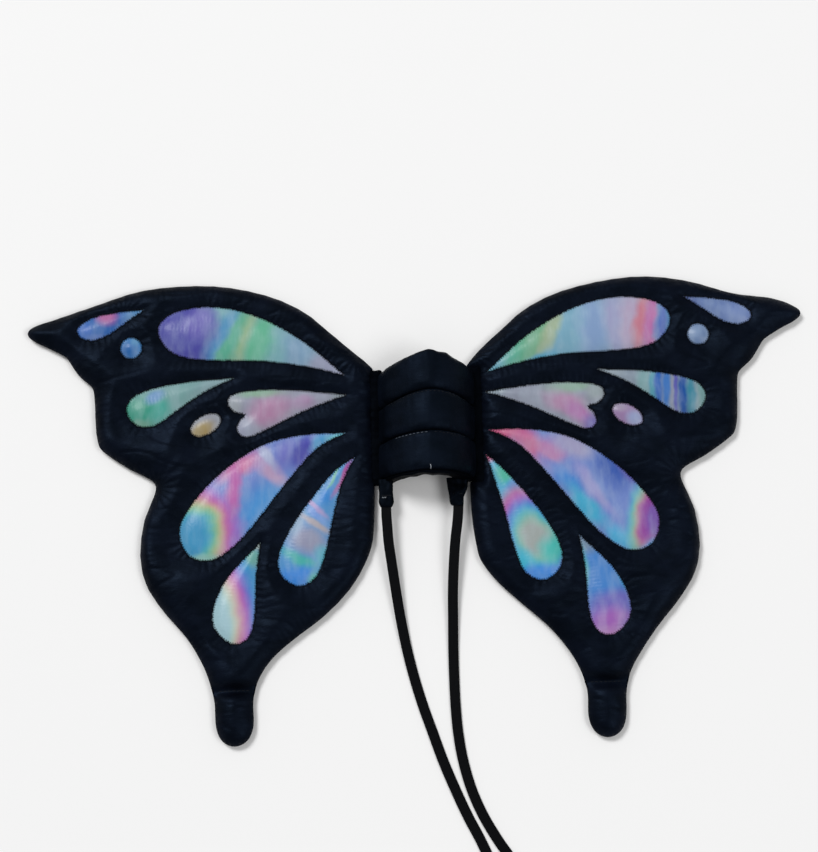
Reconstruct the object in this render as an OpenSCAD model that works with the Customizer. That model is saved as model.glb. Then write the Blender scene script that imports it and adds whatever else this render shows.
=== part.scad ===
// Padded butterfly costume wings: an arched, three-tier body band, two stuffed wings with
// iridescent windows, a hinged tail on each wing, and two flat elastic ties.
// The wings lie on their back. X runs from the left wing to the right wing, Y from the tails
// to the top edge, and Z up from the surface that the back rests on.

/* [Wings] */
// Span from wing tip to wing tip, in mm
wing_span = 702; // [660:1:740]
// Thickness of the satin covers, in mm
cover_t = 1.2; // [0.8:0.1:1.6]
// Thickness of the wadding inside a wing, in mm
wadding_t = 10.8; // [8:0.1:12]
// Thickness of the iridescent film in the windows, in mm
film_t = 0.8; // [0.4:0.1:1]
// Width of the satin stitching round each window, in mm
stitch_w = 2; // [1:0.5:3]
// Height of the stitching above the cover, in mm
stitch_t = 0.6; // [0.4:0.1:1]

/* [Body band] */
// Distance of the band's centre from the wings' own centre, in mm
body_x = 9; // [6:1:10]
// Half the width of the arched band, in mm
body_half_w = 42; // [38:1:42]
// Height of the band's ridge, in mm
body_h = 48; // [44:1:54]
// Thickness of the wadding in the band, in mm
body_wadding_t = 10; // [6:1:11]
// Thickness of the band's outer satin and of its lining, in mm
body_cover_t = 1.5; // [1:0.1:2]
// Width of the hem below the lowest tier, in mm
hem_w = 2.5; // [1.5:0.5:3]

/* [Root rolls] */
// Radius of the rolled seam that joins a wing to the band, in mm
roll_r = 3.5; // [2.5:0.1:3.5]
// Height of the rolled seam's axis, in mm
roll_z = 12.5; // [12:0.5:12.5]

/* [Ties] */
// Width of the flat elastic, in mm
tie_w = 9; // [8:0.5:10]
// Thickness of the flat elastic, in mm
tie_t = 2; // [1.5:0.1:2.2]
// Width of the fabric tab that holds a tie, in mm
tab_w = 13; // [11:1:13]
// Thickness of the tab, in mm
tab_t = 3; // [2.5:0.1:3.5]
// Radius of the stop knot at the end of a tie, in mm
knot_r = 7; // [6:0.5:8]

/* [Hidden] */

// A circle this fine is a true arc
$fn = 96;
// Sides are named by the sign of X
LEFT = -1;
RIGHT = 1;
// Points worked out along each stretch between two hand-set points
edge_steps = 4;
window_steps = 4;
tie_steps = 2;
// A cut runs this far past what it cuts
past = 1;

// Colours
satin = [0.05, 0.07, 0.12];
fluff = [0.86, 0.86, 0.84];
thread = [0.03, 0.04, 0.06];
elastic = [0.04, 0.04, 0.05];
film_blue = [0.42, 0.55, 0.85];
film_green = [0.45, 0.80, 0.68];
film_pink = [0.86, 0.50, 0.78];
film_peach = [0.80, 0.66, 0.62];

// The hand-set outline points are for this span
drawn_span = 702;
size = wing_span / drawn_span;
cover_top = 2 * cover_t + wadding_t;
cover_under = cover_t + wadding_t;
seam_gap = 4;
hinge_off = body_half_w + roll_r - 0.5;
// Hand-sewn wings differ a little: how each outline is set, left then right
inner_edge = [39, 46];
fullness = [5, -4];
tail_lean = [3, -3];
tip_droop = [3, 0];
shoulder = [1, -2];
// Where the sharp end of the inner window stops beside the band
inner_tip = [56, 61];

// Tiers: height of each seam at the band's sides, and how far its middle rises above that
seam_y = [24, 57, 88, 119];
seam_rise = [1, 4, 10, 14];
// The wings' covers stop short of the band between these heights
root_low = 21;
root_high = 125;
// The tails bend at this line
crease_y = -160;
crease_x = [165.5, 159.5];
crease_w = 29;
crease_gap = 5;
crease_r = 1.5;

// ---- Curves ----
// One point on the smooth curve through four points, between the middle two
function through(a, b, c, d, t) =
    (2 * b + (c - a) * t + (2 * a - 5 * b + 4 * c - d) * t * t + (3 * b - a - 3 * c + d) * t * t * t) / 2;
// A smooth closed curve through the points
function smooth_loop(p, steps) =
    let (n = len(p))
    [for (i = [0:n - 1]) for (s = [0:steps - 1])
        through(p[(i + n - 1) % n], p[i], p[(i + 1) % n], p[(i + 2) % n], s / steps)];
// The same, with a sharp corner at the first point
function drop_loop(p, steps) =
    let (n = len(p))
    [for (i = [0:n - 1]) for (s = [0:steps - 1])
        through(i == 0 ? p[0] : p[i - 1], p[i], p[(i + 1) % n], i + 2 < n ? p[i + 2] : p[0], s / steps)];
// A smooth open curve through the points, its ends included
function smooth_line(p, steps) =
    let (n = len(p))
    concat([for (i = [0:n - 2]) for (s = [0:steps - 1])
        through(p[max(i - 1, 0)], p[i], p[i + 1], p[min(i + 2, n - 1)], s / steps)], [p[n - 1]]);
// An anticlockwise loop moved outwards by a distance
function grown(p, by) =
    let (n = len(p))
    [for (i = [0:n - 1])
        let (along = p[(i + 1) % n] - p[(i + n - 1) % n])
        p[i] + by * [along[1], -along[0]] / norm(along)];
// A right-hand loop taken to one side and to the chosen span
function placed(side, p) = [for (q = p) size * [side * q[0], q[1]]];

// ---- Wing outlines, right wing, anticlockwise ----
// e: where the wing's inner edge runs beside the band.  f: how full the lower inner edge is.
// t: how far the tail leans out.  d: how far the tip droops.  s: how high the shoulder is.
function wing_outline(e, f, t, d, s) = [
    [e, 15], [e + 1, -12], [e + 4, -36], [54, -55 - f], [68, -74 - f], [88, -93 - f],
    [112, -113 - f / 2], [130 + t / 2, -132], [141 + t, -150], [146 + t, -168], [146 + t, -190],
    [151 + t, -203], [162.5 + t, -208.5], [174 + t, -203], [179 + t, -190], [180 + t, -170],
    [184 + t, -153], [192 + t / 2, -136], [207, -113], [228, -88], [243, -64], [248, -38],
    [245, -10], [239, 7], [234.5, 19], [235, 26], [241, 31], [258, 40], [277, 53], [285, 61],
    [288, 77], [289, 97], [290.5, 113], [295, 119], [303, 126], [310, 136], [315, 144],
    [322, 149 - d / 3], [334, 156 - d / 2], [344, 161 - d / 2], [351, 168 - d / 2], [345, 175 - d / 2],
    [325, 183 - d], [290, 190.5 + s], [250, 203 + s], [210, 207.5 + s / 2], [170, 205 + s],
    [130, 195 + s], [100, 180 + s], [80, 163 + s], [60, 145 + s], [e + 1, 128], [e - 2, 118],
    [e - 2, 70]
];
function wing_edge(side) =
    let (k = side == LEFT ? 0 : 1)
    smooth_loop(wing_outline(inner_edge[k], fullness[k], tail_lean[k], tip_droop[k], shoulder[k]), edge_steps);

// ---- Windows, right wing, anticlockwise from the sharp end ----
fore_points = [[64, 120], [100, 129], [140, 135], [190, 137], [216, 143], [229, 156], [231, 170],
    [218, 182], [190, 187], [160, 183], [128, 170], [96, 149]];
tip_points = [[244, 186], [262, 173], [278, 162], [292, 158], [303, 162], [304, 171], [290, 180],
    [268, 184]];
mid_points = [[163, 120], [189, 108], [212, 93], [233, 78.5], [250, 78], [260, 91], [255, 104],
    [235, 112.5], [200, 118]];
heart_points = [[62, 102], [100, 88], [138, 70], [153, 65], [161, 71], [159, 80], [154, 86],
    [162, 88], [169, 95], [166, 104], [148, 108], [115, 108]];
hind_points = [[64, 67], [90, 53], [113, 28], [137, -2], [160, -29], [184, -45], [205, -40],
    [213, -17], [200, 8], [174, 35], [138, 58], [100, 66.5]];
function inner_points(tip_x) = [[tip_x, 45], [68, 21], [76, -8], [83, -39], [92, -62], [108, -70],
    [123, -60], [125, -42], [113, -16], [94, 10], [74, 33]];
lower_points = [[141, -30], [145, -60], [147, -98], [154, -116], [168, -119], [182, -106],
    [183, -87], [170, -60]];
dot_centre = [256, 150];
dot_r = 10;
oval_centre = [189, 77.5];
oval_long = 15;
oval_short = 9;
oval_turn = -29;
round_points = 24;
function ellipse_loop(centre, long, short, turn) =
    [for (i = [0:round_points - 1])
        let (a = 360 * i / round_points, u = long * cos(a), v = short * sin(a))
        centre + [u * cos(turn) - v * sin(turn), u * sin(turn) + v * cos(turn)]];

fore_loop = drop_loop(fore_points, window_steps);
tip_loop = drop_loop(tip_points, window_steps);
mid_loop = drop_loop(mid_points, window_steps);
heart_loop = drop_loop(heart_points, window_steps);
hind_loop = drop_loop(hind_points, window_steps);
lower_loop = drop_loop(lower_points, window_steps);
dot_loop = ellipse_loop(dot_centre, dot_r, dot_r, 0);
oval_loop = ellipse_loop(oval_centre, oval_long, oval_short, oval_turn);
function inner_loop(side) = drop_loop(inner_points(inner_tip[side == LEFT ? 0 : 1]), window_steps);
function window_loops(side) = [fore_loop, tip_loop, dot_loop, mid_loop, heart_loop, oval_loop,
    hind_loop, inner_loop(side), lower_loop];

// ---- Ties: points of each centre line, from the tab to the knot ----
left_tie_route = [[-29, -1, 13], [-29, -9, 13], [-28.5, -18, 12.6], [-27.5, -34, 11.2], [-25, -54, 9],
    [-22, -77, 6], [-18.5, -101, 3.4], [-14, -126, 1.7], [-8.5, -150, 1.1], [-1.5, -175, 1.1],
    [6.5, -199, 1.1], [15, -224, 1.1], [24.5, -248, 1.1], [35, -272, 1.1], [46.5, -295, 1.1],
    [56, -318, 1.1], [62, -342, 1.1], [63, -367, 1.1], [59, -391, 1.1], [52, -412, 1.1]];
right_tie_route = [[35, -1, 13], [34.5, -9, 13], [33.5, -18, 12.5], [31.5, -32, 11.3], [29.5, -53, 9],
    [28, -78, 6], [27.5, -102, 3.4], [27, -127, 1.7], [27, -151, 1.1], [27.5, -176, 1.1],
    [29, -200, 1.1], [32.5, -224, 1.1], [39, -249, 1.1], [48.5, -272, 1.1], [61, -294, 1.1],
    [75, -315, 1.1], [87, -338, 1.1], [95, -362, 1.1], [99, -387, 1.1], [99, -409, 1.1]];

// ---- Wing layers ----
// The flat plan of a wing without its tail, drawn in by an inset
module wing_plan(side, inset) {
    root_x = hinge_off + side * body_x + seam_gap + inset;
    difference() {
        polygon(placed(side, grown(wing_edge(side), -inset)));
        translate([side == LEFT ? -root_x : 0, root_low - inset])
            square([root_x, root_high - root_low + 2 * inset]);
        translate([-wing_span, 2 * crease_y])
            square([2 * wing_span, crease_gap + inset - crease_y]);
    }
}

// The flat plan of a tail
module tail_plan(side, inset) {
    intersection() {
        polygon(placed(side, grown(wing_edge(side), -inset)));
        translate([-wing_span, 2 * crease_y])
            square([2 * wing_span, -crease_y - crease_gap - inset]);
    }
}

module wing_back_cover(side) {
    color(satin) linear_extrude(cover_t) wing_plan(side, 0);
}

module wing_wadding(side) {
    color(fluff) translate([0, 0, cover_t]) linear_extrude(wadding_t) wing_plan(side, cover_t);
}

// A tray of satin over the wadding, cut out at the nine windows
module wing_front_cover(side) {
    color(satin) difference() {
        translate([0, 0, cover_t]) linear_extrude(cover_under) wing_plan(side, 0);
        translate([0, 0, cover_t - past]) linear_extrude(wadding_t + past) wing_plan(side, cover_t);
        for (loop = window_loops(side)) {
            translate([0, 0, cover_under - past])
                linear_extrude(cover_t + 2 * past) polygon(placed(side, loop));
        }
    }
}

module window_film(side, loop, tint) {
    color(tint) translate([0, 0, cover_under]) linear_extrude(film_t) polygon(placed(side, loop));
}

// A raised ring of thread round every window
module window_stitching(side) {
    color(thread) for (loop = window_loops(side)) {
        translate([0, 0, cover_top]) linear_extrude(stitch_t) difference() {
            offset(delta = stitch_w, chamfer = true) polygon(placed(side, loop));
            polygon(placed(side, loop));
        }
    }
}

// The stitched bead that a tail bends about, with a flat strip joining it to the wing
module crease_seam(side) {
    tail_x = side == LEFT ? crease_x[0] : crease_x[1];
    color(satin) translate([side * size * tail_x, crease_y, 0]) {
        translate([0, 0, crease_r]) rotate([0, 90, 0]) cylinder(h = crease_w, r = crease_r, center = true);
        translate([-crease_w / 2, 0, 0]) cube([crease_w, crease_gap, cover_t]);
    }
}

module tail_back_cover(side) {
    color(satin) linear_extrude(cover_t) tail_plan(side, 0);
}

module tail_wadding(side) {
    color(fluff) translate([0, 0, cover_t]) linear_extrude(wadding_t) tail_plan(side, cover_t);
}

module tail_front_cover(side) {
    color(satin) difference() {
        translate([0, 0, cover_t]) linear_extrude(cover_under) tail_plan(side, 0);
        translate([0, 0, cover_t - past]) linear_extrude(wadding_t + past) tail_plan(side, cover_t);
    }
}

// ---- Body band ----
// The band is a pointed arch: two equal arcs that meet at the ridge
arch_shift = (body_h * body_h - body_half_w * body_half_w) / (2 * body_half_w);
arch_r = body_half_w + arch_shift;

// The solid pointed arch, drawn in by an inset
module arch(inset) {
    intersection() {
        translate([-arch_shift, 0]) circle(arch_r - inset);
        translate([arch_shift, 0]) circle(arch_r - inset);
        translate([-arch_r, 0]) square([2 * arch_r, 2 * arch_r]);
    }
}

// A layer of the arch between two insets, standing from one height to another along Y
module arch_layer(outer, inner, low, high) {
    translate([body_x, high, 0]) rotate([90, 0, 0]) linear_extrude(high - low) difference() {
        arch(outer);
        arch(inner);
    }
}

// The plan between two tier seams, each of them a shallow chevron
module tier_plan(low, low_rise, high, high_rise) {
    w = hinge_off;
    polygon([[body_x - w, low], [body_x, low + low_rise], [body_x + w, low],
        [body_x + w, high], [body_x, high + high_rise], [body_x - w, high]]);
}

module tier(number, outer, inner) {
    intersection() {
        arch_layer(outer, inner, seam_y[number] - past, seam_y[number + 1] + seam_rise[number + 1] + past);
        linear_extrude(body_h + past)
            tier_plan(seam_y[number], seam_rise[number], seam_y[number + 1], seam_rise[number + 1]);
    }
}

module tier_cover(number) {
    color(satin) tier(number, 0, body_cover_t);
}

module tier_wadding(number) {
    color(fluff) tier(number, body_cover_t, body_cover_t + body_wadding_t);
}

module body_lining() {
    under = body_cover_t + body_wadding_t;
    color(satin) intersection() {
        arch_layer(under, under + body_cover_t, seam_y[0], seam_y[3] + seam_rise[3] + past);
        linear_extrude(body_h) tier_plan(seam_y[0], seam_rise[0], seam_y[3], seam_rise[3]);
    }
}

// A narrow band that closes the lower end of the tiers and the lining
module hem_binding() {
    color(satin) intersection() {
        arch_layer(0.5, body_wadding_t + 2 * body_cover_t, seam_y[0] - hem_w - past, seam_y[0] + seam_rise[0] + past);
        linear_extrude(body_h) tier_plan(seam_y[0] - hem_w, seam_rise[0], seam_y[0], seam_rise[0]);
    }
}

// Two thin lines of thread over the seams between the tiers
module tier_stitching() {
    color(thread) for (number = [1, 2]) {
        intersection() {
            arch_layer(-stitch_t, 0, seam_y[number] - stitch_w, seam_y[number] + seam_rise[number] + stitch_w);
            linear_extrude(body_h + 2 * past)
                tier_plan(seam_y[number] - stitch_w / 2, seam_rise[number],
                    seam_y[number] + stitch_w / 2, seam_rise[number]);
        }
    }
}

// ---- Joints and ties ----
module root_roll(side) {
    color(satin) translate([body_x + side * hinge_off, seam_y[3], roll_z])
        rotate([90, 0, 0]) cylinder(h = seam_y[3] - seam_y[0], r = roll_r);
}

// A folded tab of satin sewn under the hem, with the tie's end inside it
module tab(route) {
    start = route[0];
    tab_l = seam_y[0] - hem_w - start[1];
    color(satin) translate([start[0] - tab_w / 2, start[1], start[2] - tab_t / 2])
        cube([tab_w, tab_l, tab_t]);
}

// A bar of stitches across each tab
module tab_stitching() {
    bar_l = 9;
    bar_y = 7;
    color(thread) for (route = [left_tie_route, right_tie_route]) {
        translate([route[0][0] - bar_l / 2, route[0][1] + bar_y, route[0][2] + tab_t / 2])
            cube([bar_l, stitch_w, stitch_t]);
    }
}

// The tie's flat section, with bevelled edges, one unit wide and one unit thick
tie_section = [[0.5, -0.25], [0.5, 0.25], [0.4, 0.5], [-0.4, 0.5], [-0.5, 0.25], [-0.5, -0.25],
    [-0.4, -0.5], [0.4, -0.5]];

// Flat elastic swept along its route, lying flat across it
module tie(route) {
    line = smooth_line(route, tie_steps);
    n = len(line);
    sides = len(tie_section);
    rings = [for (i = [0:n - 1])
        let (ahead = line[min(i + 1, n - 1)] - line[max(i - 1, 0)],
            along = i == 0 ? [0, -1, 0] : ahead / norm(ahead),
            across = cross(along, [0, 0, 1]) / norm(cross(along, [0, 0, 1])),
            up = cross(across, along))
        for (s = tie_section) line[i] + across * s[0] * tie_w + up * s[1] * tie_t];
    walls = [for (i = [0:n - 2]) for (s = [0:sides - 1])
        let (a = i * sides + s, b = i * sides + (s + 1) % sides)
        for (face = [[a, b, b + sides], [a, b + sides, a + sides]]) face];
    ends = [[for (s = [sides - 1:-1:0]) s], [for (s = [0:sides - 1]) (n - 1) * sides + s]];
    color(elastic) polyhedron(points = rings, faces = concat(ends, walls));
}

// A pulled stop knot with the elastic's short free end beyond it
module tie_knot(route) {
    last = route[len(route) - 1];
    before = route[len(route) - 2];
    heading = atan2(last[1] - before[1], last[0] - before[0]);
    half_h = knot_r / 2;
    free_end = 15;
    color(elastic) translate([last[0], last[1], 0]) rotate(heading) {
        translate([knot_r - 1, 0, half_h]) intersection() {
            sphere(knot_r);
            cube([4 * knot_r, 4 * knot_r, knot_r], center = true);
        }
        translate([knot_r, -tie_w / 2, 0]) cube([knot_r + free_end, tie_w, tie_t]);
    }
}

// ---- The parts ----
tier_cover(2);  // upper_tier
tier_cover(1);  // middle_tier
tier_cover(0);  // lower_tier
tier_wadding(2);  // upper_tier_wadding
tier_wadding(1);  // middle_tier_wadding
tier_wadding(0);  // lower_tier_wadding
body_lining();
hem_binding();
tier_stitching();
root_roll(LEFT);  // left_root_roll
root_roll(RIGHT);  // right_root_roll
tab(left_tie_route);  // left_tab
tab(right_tie_route);  // right_tab
tab_stitching();
tie(left_tie_route);  // left_tie
tie(right_tie_route);  // right_tie
tie_knot(left_tie_route);  // left_tie_knot
tie_knot(right_tie_route);  // right_tie_knot

wing_back_cover(LEFT);  // left_back_cover
wing_wadding(LEFT);  // left_wadding
wing_front_cover(LEFT);  // left_front_cover
window_stitching(LEFT);  // left_window_stitching
window_film(LEFT, fore_loop, film_blue);  // left_fore_film
window_film(LEFT, tip_loop, film_blue);  // left_tip_film
window_film(LEFT, dot_loop, film_blue);  // left_dot_film
window_film(LEFT, mid_loop, film_green);  // left_mid_film
window_film(LEFT, heart_loop, film_pink);  // left_heart_film
window_film(LEFT, oval_loop, film_peach);  // left_oval_film
window_film(LEFT, hind_loop, film_pink);  // left_hind_film
window_film(LEFT, inner_loop(LEFT), film_blue);  // left_inner_film
window_film(LEFT, lower_loop, film_green);  // left_lower_film
crease_seam(LEFT);  // left_crease_seam
tail_back_cover(LEFT);  // left_tail_back_cover
tail_wadding(LEFT);  // left_tail_wadding
tail_front_cover(LEFT);  // left_tail_front_cover

wing_back_cover(RIGHT);  // right_back_cover
wing_wadding(RIGHT);  // right_wadding
wing_front_cover(RIGHT);  // right_front_cover
window_stitching(RIGHT);  // right_window_stitching
window_film(RIGHT, fore_loop, film_green);  // right_fore_film
window_film(RIGHT, tip_loop, film_blue);  // right_tip_film
window_film(RIGHT, dot_loop, film_blue);  // right_dot_film
window_film(RIGHT, mid_loop, film_blue);  // right_mid_film
window_film(RIGHT, heart_loop, film_pink);  // right_heart_film
window_film(RIGHT, oval_loop, film_pink);  // right_oval_film
window_film(RIGHT, hind_loop, film_pink);  // right_hind_film
window_film(RIGHT, inner_loop(RIGHT), film_blue);  // right_inner_film
window_film(RIGHT, lower_loop, film_blue);  // right_lower_film
crease_seam(RIGHT);  // right_crease_seam
tail_back_cover(RIGHT);  // right_tail_back_cover
tail_wadding(RIGHT);  // right_tail_wadding
tail_front_cover(RIGHT);  // right_tail_front_cover
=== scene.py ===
# %% [markdown]
# # Padded butterfly costume wings
#
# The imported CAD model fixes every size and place. This lesson dresses it: stuffed satin covers,
# iridescent windows, zigzag stitching, an arched band in three tiers, and two flat elastic ties.
# Everything is in metres, with Z up, and the wings lie on their back at Z = 0.

# %% Load the frame
import math

import bpy
import numpy as np
from mathutils import Matrix, Vector, bvhtree, geometry, kdtree, noise


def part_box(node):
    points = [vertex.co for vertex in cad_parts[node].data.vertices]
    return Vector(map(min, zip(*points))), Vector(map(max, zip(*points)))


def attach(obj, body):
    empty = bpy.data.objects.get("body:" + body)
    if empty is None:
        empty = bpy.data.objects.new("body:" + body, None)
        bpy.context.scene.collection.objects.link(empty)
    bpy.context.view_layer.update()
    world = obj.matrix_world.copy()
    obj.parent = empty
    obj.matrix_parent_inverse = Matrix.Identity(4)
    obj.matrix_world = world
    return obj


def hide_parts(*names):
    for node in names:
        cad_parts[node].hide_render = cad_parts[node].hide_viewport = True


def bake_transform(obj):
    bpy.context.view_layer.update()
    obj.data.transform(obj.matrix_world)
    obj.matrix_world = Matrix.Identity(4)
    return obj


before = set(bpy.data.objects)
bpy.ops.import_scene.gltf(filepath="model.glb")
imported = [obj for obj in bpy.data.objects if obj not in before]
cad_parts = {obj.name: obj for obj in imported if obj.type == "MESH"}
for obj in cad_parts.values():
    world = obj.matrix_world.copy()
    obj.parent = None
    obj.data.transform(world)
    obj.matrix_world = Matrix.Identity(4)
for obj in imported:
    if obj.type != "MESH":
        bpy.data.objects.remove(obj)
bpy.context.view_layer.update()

MM = 0.001
SIDES = {"left": -1, "right": 1}

# %% [markdown]
# ## Camera
#
# The wings are seen almost from above. A long lens from about two metres keeps the two wings the
# same size, and a lean of 12 degrees towards the tails shows the open lower end of the band.

# %% Camera
LOOK_AT = Vector((-7, 74, 0)) * MM
CAMERA_DISTANCE = 1.9
CAMERA_LEAN = math.radians(12)
CAMERA_ROLL = math.radians(1.46)
LENS = 89.2

back = Vector((0, -math.sin(CAMERA_LEAN), math.cos(CAMERA_LEAN)))
level = Vector((1, 0, 0))
upright = back.cross(level)
right = level * math.cos(CAMERA_ROLL) - upright * math.sin(CAMERA_ROLL)
up = level * math.sin(CAMERA_ROLL) + upright * math.cos(CAMERA_ROLL)

camera_data = bpy.data.cameras.new("camera")
camera_data.lens = LENS
camera_data.clip_start = 0.1
camera_data.clip_end = 20
camera = bpy.data.objects.new("camera", camera_data)
camera.matrix_world = Matrix((
    (right.x, up.x, back.x, 0), (right.y, up.y, back.y, 0), (right.z, up.z, back.z, 0), (0, 0, 0, 1)))
camera.location = LOOK_AT + back * CAMERA_DISTANCE
bpy.context.scene.collection.objects.link(camera)
bpy.context.scene.camera = camera
print("camera at", [round(v, 3) for v in camera.location])

# %% [markdown]
# ## Meshes and smooth lines
#
# Most pieces here are long soft things: ribbons, rolls and threads. Curves with a bevel could make
# them, but a mesh of its own points keeps exact sizes and can be shaped point by point. So a few
# small helpers serve every piece. One makes an object from points and faces, and one gives its points
# a named value. Three draw a smooth line through hand-set points, measure along it, and space it
# evenly. The last two put a skin over rings of points, and sweep a flat section along a line.

# %% Mesh helpers
def make_piece(name, points, faces):
    mesh = bpy.data.meshes.new(name)
    mesh.from_pydata([tuple(map(float, p)) for p in points], [], [tuple(map(int, f)) for f in faces])
    mesh.validate()
    mesh.update()
    mesh.shade_smooth()
    piece = bpy.data.objects.new(name, mesh)
    bpy.context.scene.collection.objects.link(piece)
    return piece


def give_value(piece, name, values):
    attribute = piece.data.attributes.new(name, "FLOAT", "POINT")
    attribute.data.foreach_set("value", np.asarray(values, np.float32))


def smooth_line(points, steps):
    p = np.asarray(points, float)
    a, b, c, d = p[[0] + list(range(len(p) - 2))], p[:-1], p[1:], p[list(range(2, len(p))) + [-1]]
    line = [
        (2 * b + (c - a) * t + (2 * a - 5 * b + 4 * c - d) * t**2 + (3 * b - a - 3 * c + d) * t**3) / 2
        for t in np.arange(steps) / steps]
    return np.vstack([np.stack(line, 1).reshape(-1, p.shape[1]), p[-1:]])


def run_along(line, closed=False):
    ring = np.vstack([line, line[:1]]) if closed else line
    return np.concatenate([[0], np.cumsum(np.linalg.norm(np.diff(ring, axis=0), axis=1))])


def spaced(line, gap, closed=False):
    ring = np.vstack([line, line[:1]]) if closed else line
    run = run_along(line, closed)
    count = max(int(round(run[-1] / gap)), 3)
    at = np.linspace(0, run[-1], count, endpoint=False) if closed else np.linspace(0, run[-1], count + 1)
    return np.stack([np.interp(at, run, ring[:, k]) for k in range(ring.shape[1])], 1)


def roll_faces(rows, around, closed=False):
    """Faces over rows of points that each go once round. An open roll also gets a cap at each end."""
    faces = [(i * around + s, (i + 1) % rows * around + s,
              (i + 1) % rows * around + (s + 1) % around, i * around + (s + 1) % around)
             for i in range(rows if closed else rows - 1) for s in range(around)]
    if not closed:
        faces += [tuple(range(around)), tuple((rows - 1) * around + s for s in range(around - 1, -1, -1))]
    return faces


def ribbon_mesh(line, section):
    """Sweeps a flat section, points of (across, up) in metres, along a line. Returns points and faces."""
    ahead = np.gradient(line, axis=0)
    ahead /= np.linalg.norm(ahead, axis=1)[:, None]
    across = np.cross(ahead, [0, 0, 1.0])
    across /= np.linalg.norm(across, axis=1)[:, None]
    upward = np.cross(across, ahead)
    section = np.asarray(section, float)
    points = line[:, None] + across[:, None] * section[None, :, :1] + upward[:, None] * section[None, :, 1:]
    n, m = len(line), len(section)
    faces = [(i * m + s, i * m + (s + 1) % m, (i + 1) * m + (s + 1) % m, (i + 1) * m + s)
             for i in range(n - 1) for s in range(m)]
    faces += [tuple(range(m - 1, -1, -1)), tuple((n - 1) * m + s for s in range(m))]
    return points.reshape(-1, 3), faces

# %% [markdown]
# ## Ties
#
# Each tie is 9 mm flat black elastic, sewn into a tab at the band's lower corner. It leaves the tab
# 13 mm above the table, droops on to it, and lies there in a loose curve. The line is set point by
# point, in the same places as the CAD solid, and a flat ribbon is swept along it.
# The far end is pulled into an overhand stop knot, so that the elastic can't fray back.

# %% Tie routes and ribbons
LEFT_TIE = [(-29, -1, 13), (-29, -9, 13), (-28.5, -18, 12.6), (-27.5, -34, 11.2), (-25, -54, 9),
            (-22, -77, 6), (-18.5, -101, 3.4), (-14, -126, 1.7), (-8.5, -150, 1.1), (-1.5, -175, 1.1),
            (6.5, -199, 1.1), (15, -224, 1.1), (24.5, -248, 1.1), (35, -272, 1.1), (46.5, -295, 1.1),
            (56, -318, 1.1), (62, -342, 1.1), (63, -367, 1.1), (59, -391, 1.1), (52, -412, 1.1)]
RIGHT_TIE = [(35, -1, 13), (34.5, -9, 13), (33.5, -18, 12.5), (31.5, -32, 11.3), (29.5, -53, 9),
             (28, -78, 6), (27.5, -102, 3.4), (27, -127, 1.7), (27, -151, 1.1), (27.5, -176, 1.1),
             (29, -200, 1.1), (32.5, -224, 1.1), (39, -249, 1.1), (48.5, -272, 1.1), (61, -294, 1.1),
             (75, -315, 1.1), (87, -338, 1.1), (95, -362, 1.1), (99, -387, 1.1), (99, -409, 1.1)]
TIE_WIDTH = 9 * MM
TIE_THICK = 1.8 * MM
TIE_STEP = 2 * MM
ROUTES = {"left": np.array(LEFT_TIE) * MM, "right": np.array(RIGHT_TIE) * MM}


def flat_section(width, thick, columns=10):
    """A flat band's section: its edges are round, and its two faces have a column of points each."""
    xs = np.linspace(-0.5, 0.5, columns + 1) * (width - thick)
    top = [(x, thick / 2) for x in xs]
    rim = [(math.copysign(xs[-1], s) + s * thick / 2, 0) for s in (1, -1)]
    return [*top, rim[0], *[(x, -y) for x, y in reversed(top)], rim[1]]


def make_tie(side):
    line = spaced(smooth_line(ROUTES[side], 12), TIE_STEP)
    section = flat_section(TIE_WIDTH, TIE_THICK)
    points, faces = ribbon_mesh(line, section)
    tie = make_piece(side + "_elastic_tie", points, faces)
    give_value(tie, "along", np.repeat(run_along(line), len(section)))
    give_value(tie, "across", np.tile([s[0] for s in section], len(line)))
    return tie, line


ties = {side: make_tie(side) for side in SIDES}
for side, (tie, line) in ties.items():
    print(side, "tie is", round(run_along(line)[-1] / MM), "mm long")

# %% [markdown]
# ## Outlines of the wings
#
# The CAD model already holds every outline, so nothing is drawn twice. The flat face of a cover or
# a film has one border, and reading that border gives the pattern piece, as a sewer would trace it.
# A wing and its tail are one piece of satin on the real thing, so the two outlines are joined.

# %% Pattern pieces from the CAD
ROUNDING = 0.01 * MM
WINDOWS = ["fore", "tip", "dot", "mid", "heart", "oval", "hind", "inner", "lower"]
SEAM_ABOVE_CREASE = 1.75 * MM
crease_low, crease_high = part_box("left_crease_seam")
CREASE_Y = round((crease_low.y + crease_high.y) / 2 - SEAM_ABOVE_CREASE, 3)


def border_of(node, height):
    """The anticlockwise border of the flat face that a CAD node has at a height."""
    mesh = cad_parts[node].data
    corner = [tuple(round(c / ROUNDING) for c in vertex.co) for vertex in mesh.vertices]
    level = round(height / ROUNDING)
    edges = set()
    for face in mesh.polygons:
        ids = [corner[i] for i in face.vertices]
        if all(abs(c[2] - level) <= 2 for c in ids):
            for a, b in zip(ids, ids[1:] + ids[:1]):
                if (b, a) in edges:
                    edges.remove((b, a))
                else:
                    edges.add((a, b))
    follow = dict(edges)
    start = min(follow)
    loop = [start]
    while follow[loop[-1]] != start:
        loop.append(follow[loop[-1]])
    loop = np.array(loop, float)[:, :2] * ROUNDING
    x, y = loop.T
    area = np.sum(x * np.roll(y, -1) - y * np.roll(x, -1))
    return loop if area > 0 else loop[::-1]


def cut_open(loop, y):
    """The loop from one end of its straight edge at y round to the other end."""
    on = np.abs(loop[:, 1] - y) < 3 * ROUNDING
    last = max(k for k in range(len(loop)) if on[k] and on[(k + 1) % len(loop)])
    return np.roll(loop, -(last + 1), axis=0)


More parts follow.
